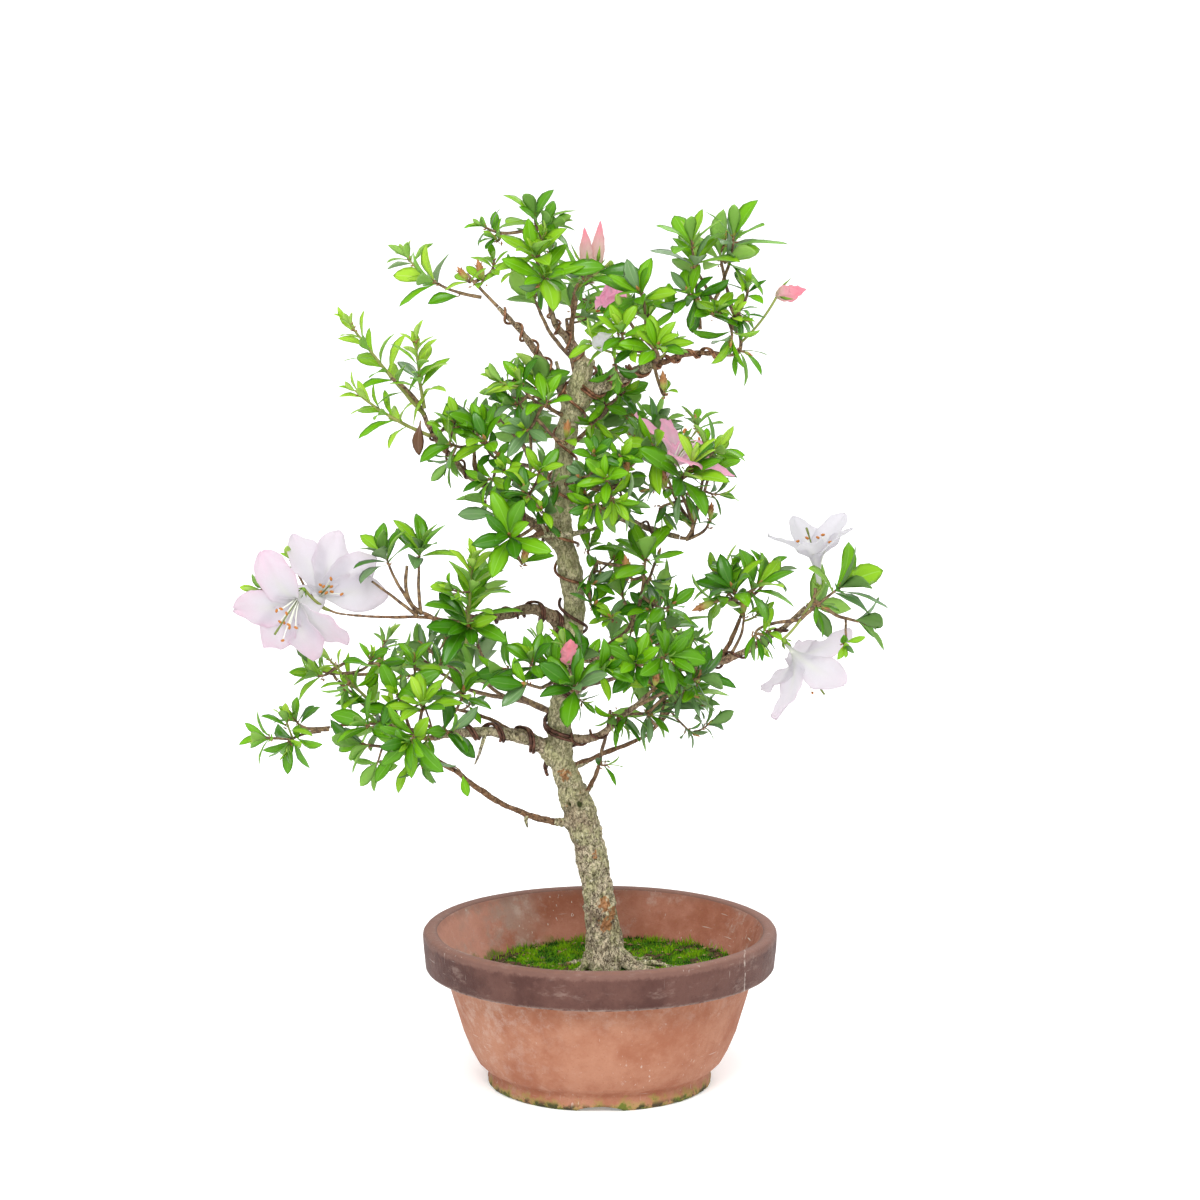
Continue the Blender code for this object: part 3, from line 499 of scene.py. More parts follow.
def bowlWobble(radius, height, turn):
    # thrown by hand: the wall is a little uneven, more so at the foot
    at = Vector((math.cos(turn), math.sin(turn), height * 0.02))
    out = noise.noise(at * 1.6) * 0.5 + noise.noise(at * 6 + Vector((5, 0, 0))) * 0.22
    lift = 0.0
    if height < 12 and radius > 60:
        out += noise.noise(at * 14) * 0.55
    if height > 100:
        lift = noise.noise(at * 2.2) * 0.5
    if height < 1:
        lift = abs(noise.noise(at * 18)) * 0.7
    # the notches that let the bowl drain
    if radius > 60 and height < 6:
        for i in range(bowlSizes["notches"]):
            middle = math.radians(-90 + 360 * i / bowlSizes["notches"])
            away = math.atan2(math.sin(turn - middle), math.cos(turn - middle)) * radius
            share = abs(away) / (bowlSizes["notchWidth"] / 2)
            if share < 1:
                arch = bowlSizes["notchHeight"] * math.sqrt(1 - share**2)
                lift = max(lift, arch - height)
    return out, lift


def makeBowl():
    sizes = bowlSizes
    top, outer, inner = sizes["height"], sizes["rimRadius"], sizes["rimInner"]
    foot, waist, hollow = sizes["foot"], sizes["waist"], sizes["hollow"]
    ring, band, low = foot - sizes["footWidth"], top - sizes["rimDepth"], hollow + sizes["floor"]
    body = [
        (sizes["drain"], hollow), (ring - 8, hollow), (ring, hollow - 0.2), (ring + 0.4, 2.0), (ring + 1.4, 0.0),
        (foot - 6, 0.0), (foot - 1.8, 0.0), (foot - 0.5, 0.8), (foot, 2.4), (foot - 0.1, 5.0), (foot - 0.8, 7.5),
        (foot - 0.9, 9.8), (foot + 0.6, 12.2), (waist + 0.4, 14.4), (waist + 3.2, 17.2),
        *[(waist + out, height) for out, height in sizes["bulge"]],
    ]
    rim = [
        (outer - 4.0, band - 0.1), (outer - 2.7, band + 0.4), (outer - 2.0, band + 1.6), (outer - 1.3, band + 8.0),
        (outer - 0.5, band + 14.0), (outer, top - 4.4), (outer - 0.3, top - 2.2), (outer - 1.3, top - 0.7),
        (outer - 3.0, top), (outer - 6.0, top + 0.1), (inner + 1.8, top - 0.3), (inner + 0.5, top - 1.2),
        (inner, top - 2.6),
    ]
    inside = [(innerRadius(height), height) for height in (98, 92, 86, 80, 74, 60, 40, 20)]
    inside += [(sizes["floorRadius"], low), (sizes["drain"], low)]
    profile = body + rim + inside
    points, faces = turned(profile, sizes["sides"], bowlWobble)
    rows = [0] * (len(body) - 1) + [1] * (len(rim) - 1) + [2] * (len(inside) + 1) + [0]
    looks = [rows[i // sizes["sides"]] for i in range(len(faces))]
    shape = Shape()
    shape.add(numpy.array(points) * mm, faces, looks)
    finishes = [makeBodyLook(), makeRimLook(), makeInnerLook()]
    shape.piece("terracottaBowl", finishes, "terracotta", ("bowl",), sharp=42)


makeBowl()
print("bowl")


# ---- soil and moss ----
mossBed = {
    "level": 77.5, "flatRadius": 60.0, "edgeDrop": 3.5, "rings": 90, "sides": 220,
    "swell": 3.0, "slope": 0.045, "blades": 17000, "bladeHeight": (1.4, 4.2), "bladeWidth": 0.75, "seed": 5,
    "olive": 0.08, "litter": 420, "litterSize": (1.2, 5.5), "clearOfTrunk": 20,
}
mossColours = {
    "bright": (0.190, 0.37, 0.004), "mid": (0.078, 0.215, 0.003), "deep": (0.018, 0.068, 0.004),
    "olive": (0.19, 0.17, 0.016), "soil": (0.060, 0.036, 0.018), "litter": (0.21, 0.105, 0.042),
    "straw": (0.48, 0.34, 0.16), "grit": (0.115, 0.070, 0.040),
}


def mossHeight(x, y):
    # the height of the bed there, in mm: cushions of moss, falling away to the wall
    radius = math.hypot(x, y)
    fall = max(0.0, (radius - mossBed["flatRadius"]) / (innerRadius(74) - mossBed["flatRadius"]))
    at = Vector((x, y, 0)) / 17
    lumps = noise.noise(at) * 0.8 + abs(noise.noise(at * 2.3)) * 0.9 + noise.noise(at * 6) * 0.22
    slope = mossBed["slope"] * x * min(1.0, radius / mossBed["flatRadius"])
    return mossBed["level"] - mossBed["edgeDrop"] * fall**1.5 + lumps * mossBed["swell"] * 0.62 - 0.6 + slope


def mossGap(x, y):
    # 1 where the soil is bare, most of it by the wall at the sides
    edge = max(0.0, math.hypot(x - 28, y * 0.6) - 78) / 5
    gap = noise.noise(Vector((x, y, 40)) / 15) + noise.noise(Vector((x, y, 9)) / 5) * 0.35 + edge * 0.22
    return min(1.0, max(0.0, (gap - 0.26) * 4 + 0.5))


def onBed(rng, reach):
    # a place on the bed, spread evenly
    radius = reach * math.sqrt(rng.random())
    turn = rng.uniform(0, 2 * math.pi)
    return radius * math.cos(turn), radius * math.sin(turn)


def makeMossBed(edge):
    rings, sides = mossBed["rings"], mossBed["sides"]
    points = [Vector((0, 0, mossHeight(0, 0)))]
    for ring in range(1, rings + 1):
        for i in range(sides):
            turn = 2 * math.pi * i / sides
            x, y = edge * ring / rings * math.cos(turn), edge * ring / rings * math.sin(turn)
            points.append(Vector((x, y, mossHeight(x, y))))
    faces = [(0, 1 + i, 1 + (i + 1) % sides) for i in range(sides)]
    faces += [(a + 1, d + 1, c + 1, b + 1) for a, b, c, d in ringFaces(rings, sides)]
    bed = Shape()
    bed.add([point * mm for point in points], faces, 0, bare=[mossGap(point.x, point.y) for point in points])
    ground = Look("mossGround", "deep", 0.95, shine=0.1, palette=mossColours)
    ground.paint(ground.patches(0.38, 0.60, 75, 5, 0.65), "mid")
    soil = ground.mix(ground.patches(0.45, 0.6, 420, 3, 0.6), mossColours["soil"], mossColours["grit"])
    ground.paint(ground.rise(ground.mark("bare"), 0.35, 0.65), soil)
    ground.relief(ground.cloud(900, 3, 0.7) + ground.cells(700) * 0.6, 0.0008)
    bed.piece("mossBed", [ground], "moss", ("soil_moss",))


def makeTufts(rng, edge):
    tufts = Shape()
    for _ in range(mossBed["blades"]):
        x, y = onBed(rng, edge - 0.6)
        tone = noise.noise(Vector((x, y, 3)) / 14) * 1.3 + noise.noise(Vector((x, y, 8)) / 4) * 0.4
        tone += rng.uniform(-0.22, 0.22)
        if mossGap(x, y) > rng.uniform(0.2, 1.15):
            continue
        look = 0 if tone > 0.10 else 1 if tone > -0.20 else 2
        if rng.random() < mossBed["olive"]:
            look = 3
        root = Vector((x, y, mossHeight(x, y) - 0.5))
        lean = Vector((rng.uniform(-1, 1), rng.uniform(-1, 1), rng.uniform(0.9, 2.0))).normalized()
        side = lean.cross(Vector((rng.uniform(-1, 1), rng.uniform(-1, 1), 0.1))).normalized()
        tall = rng.uniform(*mossBed["bladeHeight"])
        tall = tall * (1.5 if math.hypot(x, y) > edge - 10 else 1.0) * (0.7 + 0.6 * max(0.0, tone + 0.4))
        half = side * mossBed["bladeWidth"] * rng.uniform(0.6, 1.2) / 2
        belly = root + lean * tall * 0.45 + lean.cross(side) * 0.35
        blade = [root, belly - half, belly + half, root + lean * tall]
        tufts.add([point * mm for point in blade], [(0, 1, 2), (1, 3, 2)], look)
    looks = []
    for name in ("bright", "mid", "deep", "olive"):
        look = Look("moss" + name.title(), mossColours[name], 0.8, shine=0.15)
        look.glow(0.25, mossColours[name])
        looks.append(look)
    tufts.piece("mossTufts", looks, "moss")


def makeLitter(rng, edge):
    # fallen leaves, straw and grit, each a bent flake
    litter = Shape()
    for _ in range(mossBed["litter"]):
        x, y = onBed(rng, edge - 4)
        if math.hypot(x - 5, y - 7) < mossBed["clearOfTrunk"]:
            continue
        heading = direction(rng.uniform(0, 360), rng.uniform(-12, 25))
        long = rng.uniform(*mossBed["litterSize"])
        middle = Vector((x, y, mossHeight(x, y) + rng.uniform(0.3, 1.6)))
        width = long * rng.choice((0.10, 0.14, 0.30, 0.42))
        side = heading.cross(up).normalized() * width
        bow = up * width * rng.uniform(0.1, 0.9)
        flake = [middle - heading * long / 2, middle - side + bow, middle + side + bow * 0.4]
        flake += [middle + heading * long / 2, middle - up * width * 0.4]
        faces = [(0, 1, 2), (1, 3, 2), (0, 4, 1), (1, 4, 3), (0, 2, 4), (2, 3, 4)]
        litter.add([point * mm for point in flake], faces, rng.choice((0, 0, 1, 2)))
    dead = [Look("litter" + name.title(), mossColours[name], 0.8) for name in ("litter", "straw", "grit")]
    litter.piece("fallenLitter", dead, "moss")


def makeMoss():
    edge = innerRadius(mossBed["level"] - 3) + 0.4
    makeMossBed(edge)
    rng = random.Random(mossBed["seed"])
    makeTufts(rng, edge)
    makeLitter(rng, edge)


makeMoss()
print("moss")


# ---- the plant's plan: trunk, limbs and masses, as the solids have them ----
plan = {
    "clearance": 0.35 * mm, "trunkStep": 21.0, "limbSegment": 15.0 * mm, "stemEnd": 0.72,
    "stemLeast": 14.0 * mm, "stemStraight": 1.5 * mm, "stemBend": 9.0 * mm, "stemPoints": 4,
    "stemMostRadius": 2.2 * mm, "trunkStemRadius": 1.2 * mm, "trunkStemGrowth": 0.018,
    "spaceEdge": 1.08, "spaceMargin": 0.05, "limbMargin": 2.2 * mm, "shoot": 2.0 * mm,
    "shootSag": 0.16, "shootReach": 0.62, "whorl": 4, "whorlTries": 8, "lowerLeaf": 0.6,
    "leafLength": 33.0 * mm, "leafWidth": 13.0 * mm, "leafThickness": 1.1 * mm, "leafArch": 0.06,
    "leafStalk": 0.16, "topShoot": 0.95, "shootSpan": 1.35,
}
# height, x, y, diameter
trunkStations = (
    (70, 5, 6, 44), (80, 4, 6, 40), (90, 4, 7, 29), (104, 2, 7, 23.5), (135, -2, 8, 20.5),
    (160, -7, 9, 21), (188, -15, 10, 24), (205, -21, 10, 22), (222, -26, 10, 18.5),
    (250, -27, 9, 16), (280, -21, 8, 15), (310, -18, 7, 14), (345, -19, 5, 15),
    (390, -27, 1, 14), (430, -24, 0, 13.5), (468, -17, 0, 15), (484, -12, 0, 13), (495, -9, 0, 12),
)
# name, parent, where it leaves, length, headings, rises, diameters at root and tip
limbRows = (
    ("apex", "trunk", 487, 49, (195, 190, 205), (85, 40, 85), (8, 3.4)),
    ("apex_right", "apex", 22, 33, (80, 75), (60, 65), (3.4, 2.2)),
    ("high_left", "trunk", 462, 85, (190, 200, 180), (60, 55, 45), (8.4, 2.8)),
    ("high_right", "trunk", 464, 65, (340, 340, 335), (45, 20, 30), (10.4, 6.6)),
    ("high_right_outer", "high_right", 44, 70, (350, 370, 380), (25, 15, -15), (5, 2.6)),
    ("left_long", "trunk", 368, 134, (200, 190, 180, 180), (35, 40, 40, 70), (8, 3.2)),
    ("mid_left_outer", "left_long", 66, 28, (180, 275), (50, 70), (4, 3)),
    ("mid_left_inner", "trunk", 387, 42, (235, 230), (-20, -5), (5, 3)),
    ("mid_right", "trunk", 396, 83, (360, 350, 355), (0, -20, -15), (7, 3.2)),
    ("mid_left", "trunk", 298, 87, (210, 215, 210, 205), (70, 40, -15, 10), (10, 4.6)),
    ("left_twig", "mid_left", 60, 63, (210, 175, 165), (10, -25, 40), (3.6, 2.4)),
    ("left_blossom", "left_twig", 40, 73, (165, 190, 195), (10, 0, 10), (2.2, 1.7)),
    ("right", "trunk", 292, 171, (355, 345, 360, 360), (5, -10, 25, 45), (8, 3.4)),
    ("right_knot", "right", 18, 21, (35, -5), (30, 45), (5, 3.5)),
    ("right_upper", "right", 100, 34, (40, 40), (40, 65), (3.8, 2.6)),
    ("lower_left", "trunk", 221, 97, (200, 200, 200), (45, 10, -10), (12.4, 4.8)),
    ("lower_left_tip", "lower_left", 80, 90, (175, 150, 195), (0, 5, -10), (3.2, 2.0)),
    ("lower_left_inner", "lower_left", 38, 44, (165, 160), (35, 5), (3.2, 2.2)),
    ("long_low", "trunk", 177, 196, (185, 185, 175, 175), (0, 35, 35, 45), (4.8, 2.6)),
    ("lower_right", "trunk", 238, 80, (315, 330, 340), (-10, 35, 45), (6.4, 3.4)),
    ("lower_right_low", "trunk", 214, 58, (350, 350, 330), (25, 25, 25), (4.2, 2.4)),
    ("thin_shoot", "trunk", 190, 58, (330, 315, 305), (45, 65, 75), (3.3, 2.2)),
)
# name, limb, height on the trunk, centre, reach, shoots, seed, tone of its leaves, finer shoots
# many masses in the middle, low down and at the back take the deep tone: partly darker leaves, partly painted shade
massRows = (
    ("apex", "apex", None, (-43, -5, 571), (30, 45, 47), 4, 7, "bright", 2),
    ("high_left", "high_left", None, (-96, -10, 558), (56, 38, 30), 4, 27, "fresh", 1),
    ("apex_right", "apex_right", None, (0, 20, 553), (29, 40, 33), 3, 2, "mixed", 0),
    ("high_right_inner", "high_right", None, (27, -28, 514), (39, 42, 36), 4, 14, "bright", 3),
    ("high_right_outer", "high_right_outer", None, (84, 2, 544), (42, 46, 63), 5, 26, "grey", 1),
    ("mid_left_upper", "trunk", 456, (-50, -20, 475), (34, 38, 29), 3, 4, "mixed", 6),
    ("mid_left_outer", "mid_left_outer", None, (-85, -28, 445), (36, 42, 33), 4, 1, "mixed", 5),
    ("mid_left_inner", "mid_left_inner", None, (-53, -45, 404), (39, 42, 46), 4, 1, "deep", 6),
    ("mid_right_upper", "trunk", 436, (5, 28, 455), (28, 36, 32), 3, 26, "deep", 6),
    ("mid_centre", "trunk", 412, (4, -42, 412), (34, 38, 34), 3, 3, "deep", 8),
    ("mid_right_outer", "mid_right", None, (51, -10, 421), (44, 48, 51), 4, 27, "deep", 5),
    ("left_shoot", "left_long", None, (-146, -10, 487), (46, 40, 54), 5, 22, "fresh", 0),
    ("left_twigs", "left_twig", None, (-132, -20, 368), (41, 36, 34), 4, 4, "deep", 0),
    ("left_blossoms", "left_blossom", None, (-197, -36, 337), (52, 48, 54), 3, 1, "deep", 0),
    ("left_near", "mid_left", None, (-88, -45, 337), (35, 42, 43), 4, 29, "bright", 1),
    ("lower_left_back", "long_low", None, (-168, 5, 291), (54, 42, 30), 4, 3, "mixed", 1),
    ("lower_left_front", "lower_left", None, (-132, -35, 248), (50, 48, 44), 4, 19, "mixed", 5),
    ("lower_left_tip", "lower_left_tip", None, (-212, 5, 241), (36, 38, 30), 4, 20, "bright", 1),
    ("lower_left_inner", "lower_left_inner", None, (-95, 14, 270), (32, 34, 31), 3, 2, "deep", 1),
    ("lower_centre", "trunk", 282, (-32, -62, 296), (46, 44, 36), 4, 6, "deep", 4),
    ("right_knot", "right_knot", None, (28, 12, 336), (38, 40, 50), 4, 20, "mixed", 1),
    ("lower_right_inner", "lower_right", None, (36, -42, 299), (38, 40, 34), 3, 22, "deep", 5),
    ("lower_right_low", "lower_right_low", None, (48, 5, 258), (47, 40, 32), 4, 35, "deep", 5),
    ("low_spray", "thin_shoot", None, (8, -15, 264), (26, 30, 31), 2, 11, "mixed", 0),
    ("right_upper", "right_upper", None, (101, 8, 339), (50, 42, 32), 4, 10, "mixed", 3),
    ("right_outer", "right", None, (148, -12, 325), (51, 45, 50), 4, 8, "mixed", 1),
    ("back_apex", "trunk", 478, (-26, 72, 526), (40, 44, 36), 3, 1, "mixed", 5),
    ("back_left", "trunk", 410, (-62, 78, 433), (46, 46, 40), 3, 1, "deep", 4),
    ("back_right", "trunk", 402, (22, 84, 424), (46, 46, 40), 3, 1, "deep", 5),
    ("back_low_right", "trunk", 264, (34, 84, 290), (48, 44, 36), 3, 1, "deep", 4),
    ("back_low_left", "trunk", 252, (-100, 84, 274), (50, 44, 36), 4, 2, "deep", 3),
)
# name, mass, throat, facing, opening, length of a petal, turns of the petals about the axis
bloomRows = (
    ("leftFront", "left_blossoms", (-200, -56, 341), (-0.28, -0.85, -0.38), 66, 43, (7, 52, 99, 140, 290)),
    ("leftBack", "left_blossoms", (-184, -26, 342), (0.28, -0.80, 0.42), 62, 43, (292, 250, 207, 172, 25)),
    ("rightUpright", "right_outer", (144, -15, 359), (-0.14, -0.16, 0.97), 28, 42, (10, 78, 150, 218, 290)),
    ("rightHanging", "right_outer", (131, -20, 298), (0.56, 0.34, -0.75), 48, 45, (0, 84, 272, 150, 212)),
    ("midRight", "mid_right_outer", (49, -34, 431), (0.50, -0.12, 0.86), 50, 41, (90, 270, 22, 158, 215)),
    ("apexBehind", "apex_right", (8, 26, 540), (0.05, 0.06, -0.99), 15, 21, (18, 90, 162, 234, 306)),
)
# name, mass, middle, direction, length, diameter, crumple, blush at the foot and the tip, green
budRows = (
    ("apexBud", "apex_right", (-9, -26, 570), (-0.08, -0.1, 1.0), 30, 9.5, 0.07, (-1.6, 1.5), 1.15),
    ("apexBudTwin", "apex_right", (-1, -23, 573), (0.08, -0.1, 1.0), 32, 9.5, 0.07, (-1.6, 1.5), 1.15),
    ("rightBud", "high_right_outer", (126, 0, 539), (1.0, -0.1, 0.22), 21, 11, 0.15, (-0.1, 1.7), 3.0),
    ("lowBud", "lower_centre", (-20, -84, 314), (0.1, -0.5, 0.85), 21, 12, 0.20, (0.9, 1.3), 6.0),
    ("whiteBud", "high_right_inner", (2, -48, 513), (0.6, -0.4, 0.5), 17, 12, 0.14, (0.0, 0.1), 3.0),
)
corolla = {
    "width": 25.0 * mm, "throatDepth": 15.0 * mm, "throat": 10.0 * mm,
    # place along a petal, degrees more open
    "curl": ((0.3, -14), (0.66, 4), (0.9, 12), (1.0, 14)),
}


class Limb:
    # the trunk or a limb: its axis as a path, and its radius at each point
    def __init__(self, name, points, radii):
        self.points, self.radii = points, radii
        self.lengths = lengthsAlong(points)
        self.places = [point.z for point in points] if name == "trunk" else self.lengths

    def at(self, distance):
        # the point at a distance along it, or at a height on the trunk
        points = numpy.array(self.points)
        return Vector([numpy.interp(distance, self.places, points[:, i]) for i in range(3)])

    def radiusAt(self, distance):
        return float(numpy.interp(distance, self.places, self.radii))


def limbAxis(name, parent, place, length, headings, rises, diameters):
    count = max(4, round(length * mm / plan["limbSegment"]))
    point = parent.at(place * mm)
    points = [point]
    for i in range(count):
        t = (i + 0.5) / count
        heading = numpy.interp(t * (len(headings) - 1), range(len(headings)), headings)
        rise = numpy.interp(t * (len(rises) - 1), range(len(rises)), rises)
        point = point + direction(heading, rise) * (length * mm / count)
        points.append(point)
    root, tip = diameters
    radii = [(root + (tip - root) * (i / count) ** 0.8) / 2 * mm for i in range(count + 1)]
    return Limb(name, points, radii)


def makeLimbs():
    rows = smoothThrough(trunkStations, plan["trunkStep"])
    points = [Vector((x, y, height)) * mm for height, x, y, _ in rows]
    found = {"trunk": Limb("trunk", points, [row[3] / 2 * mm for row in rows])}
    for name, parent, *sizes in limbRows:
        found[name] = limbAxis(name, found[parent], *sizes)
    return found


class Mass:
    # a mass of foliage: the ellipsoid that it keeps to, and the stem that carries it
    def __init__(self, row):
        self.name, limb, place, centre, reach, self.shoots, self.seed, self.tone, self.fill = row
        self.limb = limbs[limb]
        self.centre = Vector(centre) * mm
        self.reach = Vector(reach) * mm
        self.onTrunk = place is not None
        if self.onTrunk:
            root = self.limb.at(place * mm)
            outward = self.centre - root
            level = Vector((outward.x, outward.y, 0.0)).normalized()
            along = (outward.normalized() + level).normalized()
            self.stemRadius = plan["trunkStemRadius"] + plan["trunkStemGrowth"] * outward.length
        else:
            along = (self.limb.points[-1] - self.limb.points[-2]).normalized()
            root = self.limb.points[-1] + along * plan["clearance"]
            self.stemRadius = min(self.limb.radii[-1] * 0.85, plan["stemMostRadius"])
        hub = root.lerp(self.centre + up * self.reach.z * 0.1, plan["stemEnd"])
        if (hub - root).length < plan["stemLeast"]:
            hub = root + (along + up).normalized() * plan["stemLeast"]
        bend = root + along * max((hub - root).length * 0.5, plan["stemBend"])
        start = root + along * plan["stemStraight"]
        self.stem = [root, *curve(start, bend, hub, plan["stemPoints"])]

    def outward(self, height, azimuth):
        # a direction from the centre, and how far the mass reaches that way
        flat = math.sqrt(1 - height * height)
        offset = Vector((flat * math.cos(azimuth), flat * math.sin(azimuth), height))
        return offset, 1 / Vector([offset[k] / self.reach[k] for k in range(3)]).length

    def level(self, point):
        # 0 at the mass's centre and 1 on the outside of its space
        offset = point - self.centre
        return math.sqrt(sum((offset[i] / self.reach[i]) ** 2 for i in range(3)))


def petalPaths(throat, facing, opening, petal, turns):
    facing = Vector(facing).normalized()
    throat = Vector(throat) * mm
    side = sideOf(facing, (0.0, 1.0, 0.0))
    paths = []
    for turn in turns:
        around = spun(side, math.radians(turn), facing)
        path = [throat - facing * 4.0 * mm + around * corolla["throat"] * 0.18]
        for share, extra in corolla["curl"]:
            outward, _ = opened(facing, around, math.radians(opening + extra))
            path.append(path[0] + outward * petal * share * mm)
        paths.append(path)
    return paths


class Space:
    # what foliage keeps clear of: limbs, stems and blossom, as thick line segments
    def __init__(self):
        self.starts, self.ends, self.radii, self.owners = [], [], [], []
        for limb in limbs.values():
            self.add(limb.points, limb.radii, "")
        for mass in masses:
            self.add(mass.stem, [mass.stemRadius] * len(mass.stem), mass.name)
        for _, _, *bloom in bloomRows:
            for path in petalPaths(*bloom):
                self.add([path[1], path[-1]], [corolla["width"] * 0.3], "bloom")
        self.starts, self.ends = numpy.array(self.starts), numpy.array(self.ends)
        self.radii, self.owners = numpy.array(self.radii), numpy.array(self.owners)

    def add(self, points, radii, owner):
        for start, end, radius in zip(points, points[1:], radii):
            self.starts.append(tuple(start))
            self.ends.append(tuple(end))
            self.radii.append(radius)
            self.owners.append(owner)

    def nearest(self, point, owner):
        # the gap to the nearest limb, stem or bloom that isn't the owner's
        point = numpy.array(point)
        along = self.ends - self.starts
        t = ((point - self.starts) * along).sum(1) / (along * along).sum(1)
        away = point - (self.starts + along * t.clip(0, 1)[:, None])
        gaps = numpy.sqrt((away**2).sum(1)) - self.radii
        gaps[self.owners == owner] = numpy.inf
        return gaps.min()

    def free(self, mass, points, margin, edge=None):
        for point in points:
            own = mass.level(point)
            if own > (edge or plan["spaceEdge"]) or self.nearest(point, mass.name) < margin:
                return False
            others = (other.level(point) for other in masses if other is not mass)
            if min(others) < own + plan["spaceMargin"]:
                return False
        return True


def bladeShape(path, width, thickness, normal):
    # the plain three-sided blade that the solids have for a leaf
    point, along = path[1], (path[2] - path[0]).normalized()
    side = along.cross(normal).normalized()
    keel = along.cross(side) * thickness
    points = [path[0], point - side * width / 2, point + side * width / 2, point + keel, path[2]]
    return points, [(0, 1, 2), (4, 2, 1), (0, 2, 3), (4, 3, 2), (0, 3, 1), (4, 1, 3)]


def leafBlade(root, along, normal, length, bare=0.0, width=None):
    middle = root + along * length * 0.5 + normal * length * plan["leafArch"]
    path = [root.lerp(middle, bare * 2), middle, root + along * length]
    wide = width or plan["leafWidth"] * length / plan["leafLength"]
    return bladeShape(path, wide, plan["leafThickness"], normal)


def shootLeaves(rng, path, along):
    # places, directions and lengths of a shoot's leaves: a whorl, and one below it
    side = sideOf(along)
    start = rng.uniform(0, 2 * math.pi)
    tries = plan["whorlTries"]
    found = []
    for i in range(tries + 1):
        around = spun(side, start + i * goldenAngle, along)
        opening = math.radians(34 + 44 * i / tries + rng.uniform(-6, 6))
        place = (1.0 + i * 1.1) * mm / (path[-1] - path[-2]).length
        if i == tries:
            place = 1 - plan["lowerLeaf"]
        heading, normal = opened(along, around, opening)
        length = plan["leafLength"] * rng.uniform(0.82, 1.05)
        found.append((path[-1].lerp(path[-2], place), heading, normal.normalized(), length))
    return found


class Shoot:
    # a shoot or a finer twig: its path and the leaves that it bears
    def __init__(self, path, along, radius, tone, style="whorl"):
        self.path, self.along, self.radius = path, along, radius
        self.tone, self.style = tone, style
        self.leaves = []


def growShoots(mass, space):
    # the main shoots of a mass and their leaves, in the same places as in the solids
    rng = random.Random(mass.seed)
    turn = rng.uniform(0, 2 * math.pi)
    tries = list(range(mass.shoots * 3))
    rng.shuffle(tries)
    shoots, twigs, placed = [], [], []
    for i in tries:
        if len(shoots) == mass.shoots:
            break
        offset, radius = mass.outward(
            plan["topShoot"] - plan["shootSpan"] * (i + 0.5) / len(tries), turn + i * goldenAngle
        )
        inside = radius - plan["leafLength"] * plan["shootReach"]
        distance = max(radius * 0.2, inside) * rng.uniform(0.85, 1.1)
        tip = mass.centre + offset * distance
        place = (0.95 - 0.55 * i / len(tries)) * (len(mass.stem) - 1)
        index = min(int(place), len(mass.stem) - 2)
        start = mass.stem[index].lerp(mass.stem[index + 1], place - index)
        bend = start.lerp(tip, 0.6) - up * (tip - start).length * plan["shootSag"]
        path = curve(start, bend, tip, 2)
        near = min(space.nearest(start.lerp(point, 0.5), mass.name) for point in path[1:])
        if near < plan["shoot"] or not space.free(mass, [tip], plan["shoot"]):
            continue
        twig = twigTree(path, plan["shoot"])
        if any(leaf.overlap(twig) for leaf in placed):
            continue
        along = (path[-1] - path[-2]).normalized()
        along = (along + offset * 0.5 + up * 0.3).normalized()
        shoot = Shoot(path, along, plan["shoot"] / 2, mass.tone)
        for leaf in shootLeaves(rng, path, along):
            points, faces = leafBlade(*leaf, bare=plan["leafStalk"])
            tree = BVHTree.FromPolygons(points, faces)
            tests = [*points[1:], (points[0] + points[-1]) / 2]
            if any(other.overlap(tree) for other in placed + twigs):
                continue
            if not space.free(mass, tests, plan["limbMargin"]):
                continue
            if len(shoot.leaves) == plan["whorl"]:
                break
            placed.append(tree)
            shoot.leaves.append((leaf, 0.37))
        if shoot.leaves:
            shoots.append(shoot)
            twigs.append(twig)
    return shoots


def twigTree(path, radius, sides=3):
    points, faces = tube(path, [radius] * len(path), sides)
    return BVHTree.FromPolygons(points, faces)


limbs = makeLimbs()
masses = [Mass(row) for row in massRows]
space = Space()
print("plan")


